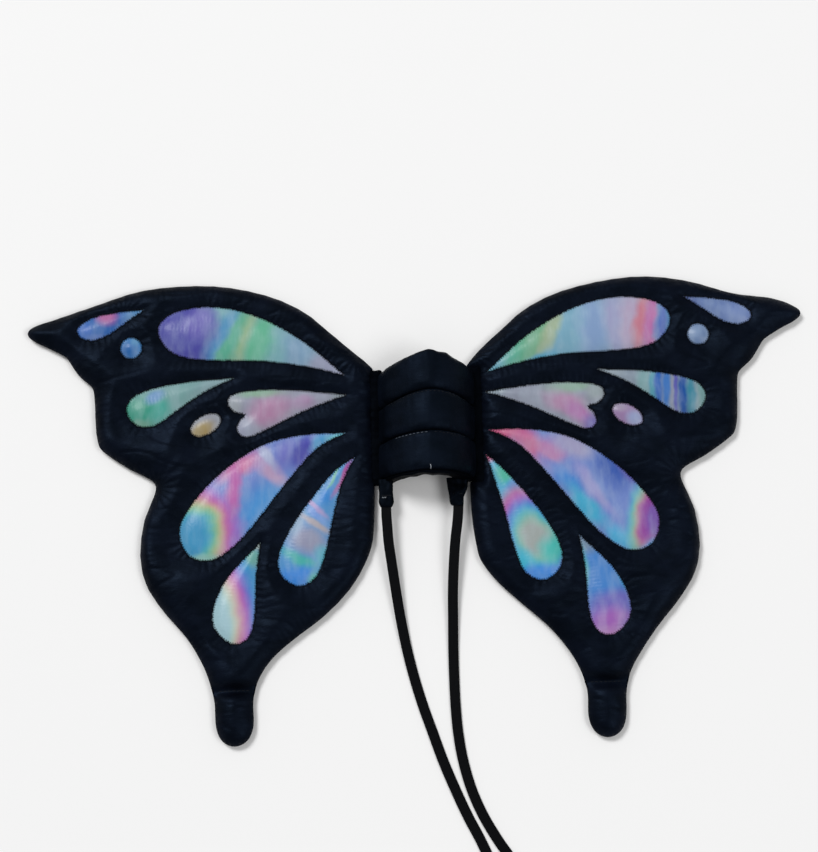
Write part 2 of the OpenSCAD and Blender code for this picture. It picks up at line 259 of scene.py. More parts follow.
def from_corner(loop):
    """The same loop, starting at its sharpest corner."""
    ahead = np.roll(loop, -1, axis=0) - loop
    ahead /= np.linalg.norm(ahead, axis=1)[:, None]
    straightness = np.sum(ahead * np.roll(ahead, 1, axis=0), axis=1)
    return np.roll(loop, -int(np.argmin(straightness)), axis=0)


def wing_pattern(side):
    wing = border_of(side + "_back_cover", 0)
    tail = border_of(side + "_tail_back_cover", 0)
    outline = np.vstack([cut_open(wing, wing[:, 1].min()), cut_open(tail, tail[:, 1].max())])
    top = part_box(side + "_dot_film")[1].z
    return outline, [from_corner(border_of(side + "_" + w + "_film", top)) for w in WINDOWS]


patterns = {side: wing_pattern(side) for side in SIDES}
for side, (outline, windows) in patterns.items():
    print(side, "outline", round(run_along(outline, True)[-1] / MM), "mm round, windows",
          [round(run_along(w, True)[-1] / MM) for w in windows])

# %% [markdown]
# ## A net of triangles for each cover
#
# Stuffed satin needs points all over, because it swells between its seams. A hexagonal grid of
# points fills the outline, and the seam lines themselves are added as exact chains of points, so
# that every window keeps a clean edge. A Delaunay triangulation joins them up. Each triangle
# remembers the window that it lies in, or -1 for satin.

# %% Net helpers
NET_GAP = 3.2 * MM
SATIN = -1


def inside(loop, points):
    x, y = points[:, 0], points[:, 1]
    result = np.zeros(len(points), bool)
    for (x0, y0), (x1, y1) in zip(loop, np.roll(loop, -1, axis=0)):
        if y0 != y1:
            result ^= ((y0 > y) != (y1 > y)) & (x < x0 + (y - y0) * (x1 - x0) / (y1 - y0))
    return result


class SeamFinder:
    """Finds the nearest of some seams to any point: how far it is, and how far along its seam."""

    def __init__(self, seams):
        self.run = np.concatenate([run_along(seam) for seam in seams])
        self.tree = kdtree.KDTree(len(self.run))
        for index, (x, y) in enumerate(np.vstack(seams)):
            self.tree.insert((x, y, 0), index)
        self.tree.balance()

    def near(self, points):
        found = [self.tree.find((p[0], p[1], 0)) for p in points]
        return np.array([f[2] for f in found]), self.run[[f[1] for f in found]]


def wing_net(outline, windows):
    chains = [spaced(outline, NET_GAP, True)] + [spaced(w, 0.8 * NET_GAP, True) for w in windows]
    points = np.vstack(chains)
    links, start = [], 0
    for chain in chains:
        n = len(chain)
        links += [(start + k, start + (k + 1) % n) for k in range(n)]
        start += n
    crease = outline[np.abs(outline[:, 1] - CREASE_Y) < 6 * MM][:, 0]
    crease_x = np.arange(crease.min() + 2 * MM, crease.max() - 1.9 * MM, 0.5 * NET_GAP)
    crease = np.stack([crease_x, np.full(len(crease_x), CREASE_Y)], 1)
    points = np.vstack([points, crease])
    lo, hi = outline.min(0), outline.max(0)
    rows = []
    for k, y in enumerate(np.arange(lo[1], hi[1], NET_GAP * math.sqrt(3) / 2)):
        xs = np.arange(lo[0] + (k % 2) * NET_GAP / 2, hi[0], NET_GAP)
        rows.append(np.column_stack([xs, np.full(len(xs), y)]))
    grid = np.vstack(rows)
    grid = grid[inside(outline, grid)]
    grid = grid[SeamFinder([points]).near(grid)[0] > 0.6 * NET_GAP]
    points = np.vstack([points, grid])
    flat, _, faces, *_ = geometry.delaunay_2d_cdt([Vector(p) for p in points], links, [], 1, 1e-7)
    flat = np.array([tuple(p) for p in flat])
    faces = np.array([f if geometry.area_tri(*[Vector((*flat[i], 0)) for i in f]) > 0 else f for f in faces])
    middle = flat[faces].mean(1)
    kind = np.full(len(faces), SATIN)
    for k, window in enumerate(windows):
        kind[inside(window, middle)] = k
    return flat, faces, kind


nets = {side: wing_net(*patterns[side]) for side in SIDES}
for side, (flat, faces, kind) in nets.items():
    print(side, len(flat), "points,", len(faces), "triangles,", int((kind != SATIN).sum()), "in windows")

# %% [markdown]
# ## Stuffing the wings
#
# A real wing is sewn flat, turned inside out, stuffed, and then quilted through round each window.
# So the cloth is held where there is a seam, and free between seams. The start shape is a gentle
# swelling, and the cloth simulation then fills it with air pressure and leaves natural slackness.
# Its raw result has sharper creases than thick satin takes, so each point's move is averaged with
# its neighbours'. The outline seam lies about 5 mm up, halfway between the two covers.

# %% Stuffing helpers
RIM_Z = 5 * MM
WINDOW_Z = 10 * MM
SLEEP_Z = 0.4 * MM


def ease(t):
    t = np.clip(t, 0, 1)
    return t * t * (3 - 2 * t)


def coordinates(piece, evaluated=False):
    source = piece
    if evaluated:
        source = piece.evaluated_get(bpy.context.evaluated_depsgraph_get())
    mesh = source.data
    values = np.empty(len(mesh.vertices) * 3, np.float32)
    mesh.vertices.foreach_get("co", values)
    return values.reshape(-1, 3).astype(float)


def set_coordinates(piece, points):
    piece.data.vertices.foreach_set("co", np.asarray(points, np.float32).ravel())
    piece.data.update()


def settled(piece, move, sewn, rounds=10, crumple=0.12):
    """Each point's move, averaged with its neighbours', so that the swell stays and sharp creases go."""
    edges = np.array([edge.vertices[:] for edge in piece.data.edges])
    neighbours = np.bincount(edges.ravel(), minlength=len(move))[:, None]
    soft = move.copy()
    for _ in range(rounds):
        total = np.zeros_like(soft)
        np.add.at(total, edges[:, 0], soft[edges[:, 1]])
        np.add.at(total, edges[:, 1], soft[edges[:, 0]])
        soft = (soft + total / neighbours) / 2
        soft[sewn] = 0
    return soft + crumple * (move - soft)


def stuff(piece, sewn, pressure, cap, stiffness=12, frames=20, slack=-0.02):
    """Swells the piece with a cloth simulation. The sewn points stay, and none moves beyond the cap."""
    group = piece.vertex_groups.new(name="sewn")
    group.add([int(i) for i in sewn], 1.0, "REPLACE")
    cloth = piece.modifiers.new("stuffing", "CLOTH")
    settings = cloth.settings
    settings.vertex_group_mass = "sewn"
    settings.use_pressure = True
    settings.uniform_pressure_force = pressure
    settings.effector_weights.gravity = 0
    settings.quality = 5
    settings.mass = 0.15
    settings.tension_stiffness = stiffness
    settings.compression_stiffness = stiffness
    settings.shear_stiffness = stiffness / 2
    settings.bending_stiffness = 0.4
    settings.shrink_min = slack
    cloth.collision_settings.use_collision = False
    cloth.point_cache.frame_start = 1
    cloth.point_cache.frame_end = frames
    before = coordinates(piece)
    for frame_number in range(1, frames + 1):
        bpy.context.scene.frame_set(frame_number)
    move = coordinates(piece, evaluated=True) - before
    piece.modifiers.remove(cloth)
    piece.vertex_groups.clear()
    bpy.context.scene.frame_set(1)
    move = settled(piece, move, sewn)
    length = np.linalg.norm(move, axis=1)
    print(piece.name, "moved up to", round(length.max() / MM, 2), "mm, mean", round(length.mean() / MM, 2))
    scale = np.minimum(1, cap / np.maximum(length, 1e-9))
    set_coordinates(piece, before + move * scale[:, None])


def applied(piece, modifier):
    """Turns what a modifier makes of a piece into the piece's own mesh."""
    mesh = bpy.data.meshes.new_from_object(piece.evaluated_get(bpy.context.evaluated_depsgraph_get()))
    piece.modifiers.remove(modifier)
    piece.data = mesh


def smoothed(piece):
    modifier = piece.modifiers.new("smooth", "SUBSURF")
    modifier.levels = modifier.render_levels = 1
    modifier.boundary_smooth = "ALL"
    applied(piece, modifier)


print("seams lie", round(RIM_Z / MM), "mm up at the outline and", round(WINDOW_Z / MM), "mm at a window")

# %% [markdown]
# ## How high the satin stands
#
# The front of a stuffed wing rises steeply from its outline seam and levels off, and it dips beside
# every window and along the tail's crease. A simulation from a flat start could find all that, but
# it would need many more frames. So each point gets a first height from three distances: to the
# outline, to the nearest seam, and to the crease. A search tree of seam points finds them fast.

# %% Swollen covers
def wing_seams(side):
    outline, windows = patterns[side]
    return [spaced(loop, MM, True) for loop in (outline, *windows)]


finders = {side: SeamFinder(wing_seams(side)) for side in SIDES}
rim_finders = {side: SeamFinder(wing_seams(side)[:1]) for side in SIDES}
print("points on the seams:", {side: len(finders[side].run) for side in SIDES})


def front_height(rim, seam, crease):
    base = RIM_Z + (WINDOW_Z - RIM_Z) * (1 - np.exp(-rim / (8 * MM)))
    swell = 4.2 * MM * (1 - np.exp(-seam / (7 * MM)))
    low = np.exp(-(crease / (5 * MM))**2)
    return (base + swell) * (1 - low) + 4.5 * MM * low

# %% [markdown]
# ## Puckers and wrinkles
#
# Thread pulls cloth in a little at every stitch, so satin beside a seam stands up in small puckers
# across the seam. They are real relief here, just under half a millimetre high. The satin is also
# gathered where a wing joins the band, and creases fan out from the notches of the outline. Bump
# mapping alone would leave the meshes smooth.

# %% Relief of the cloth
def cloud(points, scale, seed=0.0):
    """Soft noise from -1 to 1 at each point. The scale, in metres, is the size of its lumps."""
    sx, sy = scale if isinstance(scale, tuple) else (scale, scale)
    return np.array([noise.noise((x / sx + seed, y / sy - seed, seed)) for x, y in points[:, :2]])


NOTCHES = [(0.234, 0.022), (0.052, 0.137), (0.262, 0.182)]
ROOT_EDGE = {side: abs(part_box(side + "_root_roll")[0 if side == "left" else 1].x) + 0.5 * MM for side in SIDES}
PUCKER_PITCH = 5.2 * MM
PUCKER_HEIGHT = 0.42 * MM


def puckers(points, seam, run, fade):
    """Waves from -1 to 1 across a seam, strongest just beside it. They fade over a distance."""
    pitch = 2 * np.pi * run / PUCKER_PITCH + 2.4 * cloud(points, 11 * MM, 3.1)
    return np.clip(seam / (1.6 * MM), 0, 1) * np.exp(-seam / fade) * np.sin(pitch)


def satin_relief(side, points, seam, run):
    strength = np.clip(0.55 + 1.1 * cloud(points, 16 * MM, 7.7), 0.05, 1.4)
    relief = PUCKER_HEIGHT * strength * puckers(points, seam, run, 7 * MM)
    free = ease(seam / (9 * MM))
    relief += 0.55 * MM * free * cloud(points, (34 * MM, 12 * MM), 1.3)
    relief -= 0.5 * MM * free * np.clip(1 - np.abs(cloud(points, (60 * MM, 17 * MM), 5.9)) * 7, 0, 1)
    for x, y in NOTCHES:
        away = points[:, :2] - np.array([SIDES[side] * x, y])
        distance = np.linalg.norm(away, axis=1)
        angle = np.arctan2(away[:, 1], away[:, 0])
        fan = np.sin(angle * 17 + 2 * cloud(points, 25 * MM, x * 50))
        spread = ease(distance / (12 * MM)) * np.exp(-distance / (24 * MM))
        relief += 0.45 * MM * fan * spread * ease(seam / (4 * MM))
    from_root = np.abs(points[:, 0]) - ROOT_EDGE[side]
    beside_band = ease((points[:, 1] - 15 * MM) / (12 * MM)) * ease((135 * MM - points[:, 1]) / (12 * MM))
    pleats = np.sin(2 * np.pi * points[:, 1] / (8.5 * MM) + 2.5 * cloud(points, 20 * MM, 9.2))
    beside_band *= np.exp(-np.clip(from_root, 0, None) / (11 * MM))
    relief += 0.5 * MM * pleats * beside_band * ease(seam / (3 * MM))
    return relief


def foil_relief(points, seam, axis, seed):
    """Fine ridges across a window, strongest beside its border and in its narrow end."""
    along = points[:, :2] @ axis
    ridge = np.sin(2 * np.pi * along / (3.3 * MM) + 1.5 * cloud(points, 14 * MM, seed))
    strength = (0.25 + 0.75 * np.exp(-seam / (6 * MM))) * np.clip(seam / (1.5 * MM), 0, 1)
    strength *= np.clip(0.75 + 0.9 * cloud(points, 17 * MM, seed + 4), 0.15, 1.5)
    return 0.15 * MM * strength * ridge + 0.35 * MM * ease(seam / (8 * MM)) * cloud(points, 16 * MM, seed + 8)


print("puckers are", round(PUCKER_PITCH / MM, 1), "mm apart, with", len(NOTCHES), "notches on each wing")

# %% [markdown]
# ## Cutting and thickness
#
# A net of triangles has no thickness, and real satin and foil do. A Solidify modifier gives it, and
# is applied at once, so that the piece's own mesh is the finished one. A piece is cut from the net by
# choosing faces. A cover that runs over the crease into the tail stays one piece there.

# %% Cut and thicken
def part_of(name, points, faces, keep, values):
    """A new piece from some of the faces, with per-point values carried over."""
    kept = [faces[i] for i in np.flatnonzero(keep)]
    used = sorted({v for face in kept for v in face})
    new = {v: i for i, v in enumerate(used)}
    piece = make_piece(name, points[used], [[new[v] for v in face] for face in kept])
    for key, array in values.items():
        give_value(piece, key, array[used])
    return piece


def thickened(piece, depth):
    modifier = piece.modifiers.new("thickness", "SOLIDIFY")
    modifier.thickness = depth
    modifier.offset = -1
    applied(piece, modifier)
    piece.data.shade_smooth()


def face_list(piece):
    return [tuple(face.vertices) for face in piece.data.polygons]


def bend_at_crease(piece):
    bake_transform(piece)


SATIN_THICK = 0.5 * MM
FOIL_THICK = 0.25 * MM
print("satin", round(SATIN_THICK / MM, 2), "mm thick, foil", round(FOIL_THICK / MM, 2), "mm")

# %% [markdown]
# ## Wadding
#
# A wing is filled with loose polyester, which nobody sees but which a cut wing would show. It could
# be a copy of the cover scaled down, but that would poke through near the outline. So its top is the
# swollen net itself a little lower, its underside follows the back cover a little higher, and it
# stops short of the outline. The walls between the two close it all round.

# %% Wadding
WADDING_INSET = 4.5 * MM
waddings = {}


def back_height(rim):
    return SLEEP_Z + (RIM_Z - SLEEP_Z) * (1 - ease(rim / (11 * MM)))**1.5


def make_wadding(side, points, faces, rim, crease):
    inner = (rim > WADDING_INSET) & (crease > 4 * MM)
    on_wing = points[:, 1] > CREASE_Y
    for part, body, chosen in (("wadding", "_wing", on_wing), ("tail_wadding", "_tail", ~on_wing)):
        keep = (inner & chosen)[faces].all(1)
        used = sorted(set(faces[keep].ravel()))
        new = {v: i for i, v in enumerate(used)}
        top = points[used] - np.array([0, 0, 1.3 * MM])
        low = top.copy()
        low[:, 2] = back_height(rim[used]) + 1.2 * MM
        top[:, 2] = np.maximum(top[:, 2], low[:, 2] + 0.4 * MM)
        count = len(used)
        upper = [tuple(new[v] for v in face) for face in faces[keep]]
        edges = dict.fromkeys(edge for a, b, c in upper for edge in ((a, b), (b, c), (c, a)))
        walls = [(b, a, a + count, b + count) for a, b in edges if (b, a) not in edges]
        lower = [(a + count, c + count, b + count) for a, b, c in upper]
        piece = make_piece(side + "_" + part + "_fill", np.vstack([top, low]), upper + lower + walls)
        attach(piece, side + body)
        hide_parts(side + "_" + part)
        waddings[side, part] = piece


print("wadding stops", round(WADDING_INSET / MM, 1), "mm short of the outline")

# %% [markdown]
# ## Front covers and windows
#
# The swollen sheet is now cut into its real pieces. The satin cover keeps everything outside the
# windows and runs on over the crease into the tail in one piece. Each window is its own piece of
# iridescent foil, a little lower than the satin that frames it. Cutting both from one net, after
# the swelling, keeps their borders exactly together.

# %% Fronts
FOIL_DROP = np.array([0, 0, 0.3 * MM])
fronts, foils, surfaces = {}, {}, {}


def make_front(side):
    flat, faces, kind = nets[side]
    rim = rim_finders[side].near(flat)[0]
    seam = finders[side].near(flat)[0]
    crease = np.abs(flat[:, 1] - CREASE_Y)
    sheet = make_piece(side + "_front_sheet", np.column_stack([flat, front_height(rim, seam, crease)]), faces)
    for _ in range(len(WINDOWS) + 1):
        sheet.data.materials.append(None)
    sheet.data.polygons.foreach_set("material_index", (kind + 1).astype(np.int32))
    stuff(sheet, np.flatnonzero((seam < 0.4 * MM) | (crease < 0.3 * MM)), pressure=4, cap=5 * MM)
    make_wadding(side, coordinates(sheet), faces, rim, crease)
    smoothed(sheet)
    points, loops = coordinates(sheet), face_list(sheet)
    kinds = np.array([face.material_index - 1 for face in sheet.data.polygons])
    bpy.data.objects.remove(sheet)
    seam, run = finders[side].near(points)
    point_kind = np.full(len(points), SATIN)
    for loop, k in zip(loops, kinds):
        if k != SATIN:
            point_kind[list(loop)] = k
    relief = satin_relief(side, points, seam, run)
    for k, window in enumerate(patterns[side][1]):
        own = point_kind == k
        axis = np.linalg.svd(window - window.mean(0), full_matrices=False)[2][0]
        relief[own] = foil_relief(points[own], seam[own], axis, 11.0 + k)
    points[:, 2] += relief
    values = {"seam": seam, "run": run}
    fronts[side] = part_of(side + "_satin_front", points, loops, kinds == SATIN, values)
    for k, name in enumerate(WINDOWS):
        foil = part_of(side + "_" + name + "_foil", points - FOIL_DROP, loops, kinds == k, values)
        thickened(foil, FOIL_THICK)
        foils[side, name] = foil
        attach(foil, side + "_wing")
        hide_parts(side + "_" + name + "_film")
    surfaces[side] = bvhtree.BVHTree.FromPolygons([Vector(p) for p in points], loops)
    thickened(fronts[side], SATIN_THICK)
    bend_at_crease(fronts[side])
    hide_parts(side + "_front_cover", side + "_tail_front_cover")


# %% [markdown]
# ## Back covers
#
# The back is plain lining that the wing rests on, so it is flat in the middle and turns up to meet
# the front at the outline seam. It uses the same net with its faces turned over. It isn't simulated,
# because the table decides its shape. Small puckers along the outline are all that it needs.

# %% Backs
TABLE_GAP = 0.15 * MM
LINING_THICK = 0.1 * MM
backs = {}


def make_back(side):
    flat, faces, _ = nets[side]
    rim = rim_finders[side].near(flat)[0]
    sheet = make_piece(side + "_satin_back", np.column_stack([flat, back_height(rim)]), faces[:, ::-1])
    smoothed(sheet)
    points = coordinates(sheet)
    rim, run = rim_finders[side].near(points)
    relief = 0.4 * MM * puckers(points, rim, run, 8 * MM)
    relief += 0.25 * MM * ease(rim / (12 * MM)) * (1 + cloud(points, (30 * MM, 13 * MM), 2.2))
    points[:, 2] = np.maximum(points[:, 2] + relief, TABLE_GAP)
    set_coordinates(sheet, points)
    give_value(sheet, "seam", rim)
    give_value(sheet, "run", run)
    thickened(sheet, LINING_THICK)
    bend_at_crease(sheet)
    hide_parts(side + "_back_cover", side + "_tail_back_cover")
    backs[side] = sheet


for side in SIDES:
    make_front(side)
    make_back(side)
    print(side, "cover has", len(fronts[side].data.vertices), "points and", len(WINDOWS), "windows")

# %% [markdown]
# ## Stitching
#
# Every window is held by a close zigzag stitch that bites over the edge of the foil, so its border
# shows small dark teeth. A thread is a thin tube that crosses the border from side to side. Rays
# cast straight down find the cloth, so that the thread lies on it. A running stitch holds the crease.

# %% Thread
THREAD = 0.28 * MM


def on_cloth(side, xy, lift):
    points = []
    for x, y in xy:
        hit = surfaces[side].ray_cast(Vector((x, y, 0.1)), Vector((0, 0, -1)))[0]
        points.append((x, y, (hit.z if hit else WINDOW_Z) + lift))
    return np.array(points)


def tube(line, radius, sides=5, closed=False):
    ahead = np.roll(line, -1, 0) - np.roll(line, 1, 0) if closed else np.gradient(line, axis=0)
    ahead /= np.linalg.norm(ahead, axis=1)[:, None]
    across = np.cross(ahead, [0, 0, 1.0])
    across /= np.maximum(np.linalg.norm(across, axis=1), 1e-9)[:, None]
    upward = np.cross(across, ahead)
    turns = 2 * np.pi * np.arange(sides) / sides
    ring = np.cos(turns)[None, :, None] * across[:, None] + np.sin(turns)[None, :, None] * upward[:, None]
    return (line[:, None] + radius * ring).reshape(-1, 3), roll_faces(len(line), sides, closed)


def joined(name, parts):
    points, faces, start = [], [], 0
    for part_points, part_faces in parts:
        points.append(part_points)
        faces += [tuple(v + start for v in face) for face in part_faces]
        start += len(part_points)
    return make_piece(name, np.vstack(points), faces)


BITE = 1.15 * MM


def zigzag(side, window):
    border = spaced(window, BITE, True)
    if len(border) % 2:
        border = spaced(window, BITE * len(border) / (len(border) - 1.0), True)
    ahead = np.roll(border, -1, 0) - np.roll(border, 1, 0)
    outward = np.stack([ahead[:, 1], -ahead[:, 0]], 1) / np.linalg.norm(ahead, axis=1)[:, None]
    reach = np.where(np.arange(len(border)) % 2, 1.1 * MM, -1.25 * MM)
    return tube(on_cloth(side, border + outward * reach[:, None], 0.12 * MM), THREAD, closed=True)


def running_stitch(line, length, gap, radius):
    parts = []
    run = run_along(line)
    for start in np.arange(gap, run[-1] - length, length + gap):
        at = start + length * np.linspace(0, 1, 5)
        piece = np.stack([np.interp(at, run, line[:, k]) for k in range(3)], 1)
        piece[:, 2] -= radius * np.array([1.4, 0, 0, 0, 1.4])
        parts.append(tube(piece, radius))
    return parts


window_stitches, crease_stitches = {}, {}
for side in SIDES:
    stitches = joined(side + "_window_stitches", [zigzag(side, w) for w in patterns[side][1]])
    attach(stitches, side + "_wing")
    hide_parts(side + "_window_stitching")
    window_stitches[side] = stitches
    low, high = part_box(side + "_crease_seam")
    xs = np.arange(low.x, high.x, MM)
    line = on_cloth(side, np.stack([xs, np.full(len(xs), CREASE_Y)], 1), 0.25 * MM)
    seam = joined(side + "_crease_stitches", running_stitch(line, 3 * MM, MM, THREAD))
    bend_at_crease(seam)
    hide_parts(side + "_crease_seam")
    crease_stitches[side] = seam
    print(side, "windows are sewn with", len(stitches.data.vertices) // 5, "bends of thread")

# %% [markdown]
# ## The band
#
# The band is three padded channels over a stiff arch, like a yoke. Each channel is one closed tube
# with a flattened section, swept over the arch from foot to foot, so its rounded edges meet its
# neighbour's in a dark groove. Its outer skin is then blown up by simulation, while the side that
# faces the tunnel stays put. The ridge stands a little right of centre, as hand sewing leaves it.

# %% Arch
arch_low, arch_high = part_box("middle_tier")
ARCH_X = (arch_low.x + arch_high.x) / 2
ARCH_HALF = (arch_high.x - arch_low.x) / 2
ARCH_TALL = arch_high.z
ARCH_SHIFT = (ARCH_TALL**2 - ARCH_HALF**2) / (2 * ARCH_HALF)
ARCH_R = ARCH_HALF + ARCH_SHIFT
RIDGE_LEAN = 3.5 * MM
FOOT_FLARE = 2.5 * MM
LINING_DEPTH = 11.5 * MM
FOOT_GAP = 0.2 * MM


def arch_line(gap=1.8 * MM, soften=10):
    turns = np.linspace(0, math.acos(ARCH_SHIFT / ARCH_R), 60)
    left = np.stack([ARCH_SHIFT - ARCH_R * np.cos(turns), ARCH_R * np.sin(turns)], 1)
    line = spaced(np.vstack([left, left[-2::-1] * [-1, 1]]), gap)
    for _ in range(soften):
        line[1:-1] = (line[:-2] + 2 * line[1:-1] + line[2:]) / 4
    line[:, 0] += np.sign(line[:, 0]) * FOOT_FLARE * (1 - ease(line[:, 1] / (16 * MM)))
    line[:, 0] += ARCH_X + RIDGE_LEAN * (line[:, 1] / ARCH_TALL)**2
    line[:, 1] = np.maximum(line[:, 1], 0.3 * MM)
    ahead = np.gradient(line, axis=0)
    ahead /= np.linalg.norm(ahead, axis=1)[:, None]
    return line, np.stack([-ahead[:, 1], ahead[:, 0]], 1)


ARCH, ARCH_OUT = arch_line()
HUMP = np.cos(np.pi / 2 * np.clip((ARCH[:, 0] - ARCH_X - 5 * MM) / (ARCH_HALF + 6 * MM), -1, 1))**1.3
SEAMS = [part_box("lower_tier")[0].y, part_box("middle_tier")[0].y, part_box("upper_tier")[0].y,
         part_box("left_root_roll")[1].y]
TOPS = [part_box("lower_tier")[0].y + MM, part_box("lower_tier")[1].y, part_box("middle_tier")[1].y,
        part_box("upper_tier")[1].y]
TENT = 1.06 - np.hypot((ARCH[:, 0] - ARCH_X - 3 * MM) / (ARCH_HALF + 2 * MM), 0.06)
SEAM_LINES = [low + (high - low) * HUMP for low, high in zip(SEAMS, TOPS)]
SEAM_LINES[3] = SEAMS[3] + 3 * MM + (TOPS[3] - SEAMS[3] - 2 * MM) * TENT
SEAM_LINES[3] = SEAM_LINES[3] + 1.6 * MM * np.exp(-((ARCH[:, 0] - 29 * MM) / (5 * MM))**2)
print("band is", round(run_along(ARCH)[-1] / MM), "mm over the arch, seams at", [round(s / MM) for s in SEAMS])


# %% [markdown]
# ## Three padded tiers
#
# A tier is a channel of satin stuffed with wadding. One big tube bent over the arch would have a
# round section, and this one is broad and nearly flat, so its section is a squared oval. The
# simulation fills only the outer skin. Puckers along both grooves and a few soft wrinkles follow.

# %% Tiers
TIER_TURNS = 44


def over_arch(name, low, high, outer, inner, turns=TIER_TURNS, square=(0.3, 0.45)):
    """A closed tube over the arch between two lines of Y and two depths below the arch's skin."""
    a = 2 * np.pi * np.arange(turns) / turns
    y_part = np.sign(np.cos(a)) * np.abs(np.cos(a))**square[0]
    d_part = np.sign(np.sin(a)) * np.abs(np.sin(a))**square[1]
    y = (low + high)[:, None] / 2 + (high - low)[:, None] / 2 * y_part
    depth = (outer + inner) / 2 + (inner - outer) / 2 * d_part
    points = np.empty((len(ARCH), turns, 3))
    points[..., 0] = ARCH[:, :1] - ARCH_OUT[:, :1] * depth
    points[..., 1] = y
    points[..., 2] = ARCH[:, 1:] - ARCH_OUT[:, 1:] * depth
    points[..., 2] = np.maximum(points[..., 2], FOOT_GAP)
    return make_piece(name, points.reshape(-1, 3), roll_faces(len(ARCH), turns)), np.tile(depth, len(ARCH))


tiers = {}
for number, name in enumerate(["lower_tier", "middle_tier", "upper_tier"]):
    low, high = SEAM_LINES[number:number + 2]
    pad, depth = over_arch(name + "_pad", low + 0.1 * MM, high - 0.1 * MM, 0.2 * MM, LINING_DEPTH)
    stuff(pad, np.flatnonzero(depth > 3.5 * MM), pressure=5, cap=2.5 * MM, slack=-0.03)
    points = coordinates(pad)
    outward = np.repeat(ARCH_OUT, TIER_TURNS, axis=0)
    edge = np.minimum(points[:, 1] - np.repeat(low, TIER_TURNS), np.repeat(high, TIER_TURNS) - points[:, 1])
    across = np.repeat(run_along(ARCH), TIER_TURNS)
    skin = ease((5 * MM - depth) / (4 * MM))
    flow = np.column_stack([across, points[:, 1]])
    pitch = 2 * np.pi * across / (6.3 * MM) + 3 * cloud(flow, 15 * MM, number)
    relief = 0.35 * MM * np.exp(-np.clip(edge, 0, None) / (5 * MM)) * np.sin(pitch)
    relief += 0.55 * MM * cloud(flow, (30 * MM, 9 * MM), 4.4 + number)
    relief -= 0.5 * MM * np.clip(1 - 8 * np.abs(cloud(flow, (45 * MM, 15 * MM), 8.8 + number)), 0, 1)
    relief *= skin
    points[:, 0] += outward[:, 0] * relief
    points[:, 2] += outward[:, 1] * relief
    points[:, 2] = np.maximum(points[:, 2], FOOT_GAP)
    set_coordinates(pad, points)
    smoothed(pad)
    pad.data.shade_smooth()
    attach(pad, "body_band")
    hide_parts(name, name + "_wadding")
    tiers[name] = pad
    print(name, "pad has", len(pad.data.vertices), "points")

# %% [markdown]
# ## Lining and hem
#
# A lining of plain woven cloth runs through the tunnel. It is sewn to the pads at the lower end
# with a rolled hem, coloured near-black as painted shade so that it shows as a dark lip. Both
# follow the same arch, further in.

# %% Lining and hem
def lining_sheet():
    depth = LINING_DEPTH + 0.6 * MM
    columns = 40
    rows = np.linspace(0, 1, columns)
    low, high = SEAM_LINES[0] - 1.2 * MM, SEAM_LINES[3] - 2.5 * MM
    x = ARCH[:, 0] - ARCH_OUT[:, 0] * depth
    z = ARCH[:, 1] - ARCH_OUT[:, 1] * depth
    y = low[:, None] + (high - low)[:, None] * rows
    points = np.stack([np.repeat(x, columns), y.ravel(), np.maximum(np.repeat(z, columns), 0.3 * MM)], 1)
    flow = np.column_stack([np.repeat(run_along(ARCH), columns), y.ravel()])
    points[:, 2] += 0.5 * MM * cloud(flow, (14 * MM, 30 * MM), 6.1) * ease(points[:, 2] / (8 * MM))
    faces = [(k, k + 1, k + 1 + columns, k + columns)
             for i in range(len(x) - 1) for k in range(i * columns, (i + 1) * columns - 1)]
    lining = make_piece("tunnel_lining", points, faces)
    thickened(lining, 0.9 * MM)
    return lining


# Its near-black finish, given later, is partly its own colour and partly painted shade for the tunnel.
lining = lining_sheet()
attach(lining, "body_band")
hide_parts("body_lining")

wobble = 1.5 * MM * np.array([noise.noise((r / (13 * MM), 2.5, 0)) for r in run_along(ARCH)])
hem, _ = over_arch("rolled_hem", SEAM_LINES[0] - 3.2 * MM + wobble, SEAM_LINES[0] + 0.2 * MM, 1.2 * MM, 12.8 * MM,
                   turns=28, square=(0.75, 0.45))
smoothed(hem)
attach(hem, "body_band")
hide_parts("hem_binding")
print("lining and hem:", len(lining.data.vertices), "and", len(hem.data.vertices), "points")

# %% [markdown]
# ## Stitches on the band
#
# The upper side shows a line of topstitching below each groove. On the left half of the lowest
# groove the paler bobbin thread has been pulled up, and a pale tack holds the middle of the hem.

# %% Topstitching and tack
skin_points, skin_faces = [], []
for pad in tiers.values():
    start = len(skin_points)
    skin_points += [Vector(p) for p in coordinates(pad)]
    skin_faces += [tuple(v + start for v in face) for face in face_list(pad)]
band_skin = bvhtree.BVHTree.FromPolygons(skin_points, skin_faces)


def on_band(x, y, lift=0.1 * MM):
    hit = band_skin.ray_cast(Vector((x, y, 0.1)), Vector((0, 0, -1)))[0]
    return (x, y, (hit.z if hit else ARCH_TALL) + lift)


def seam_at(number, x):
    return float(np.interp(x, ARCH[:, 0], SEAM_LINES[number]))


def topstitch(name, number, x_from, x_to, below, thread):
    xs = np.arange(x_from, x_to, 0.8 * MM)
    line = np.array([on_band(x, seam_at(number, x) - below) for x in xs])
    seam = joined(name, running_stitch(line, 2.3 * MM, 1.5 * MM, thread))
    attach(seam, "body_band")
    return seam


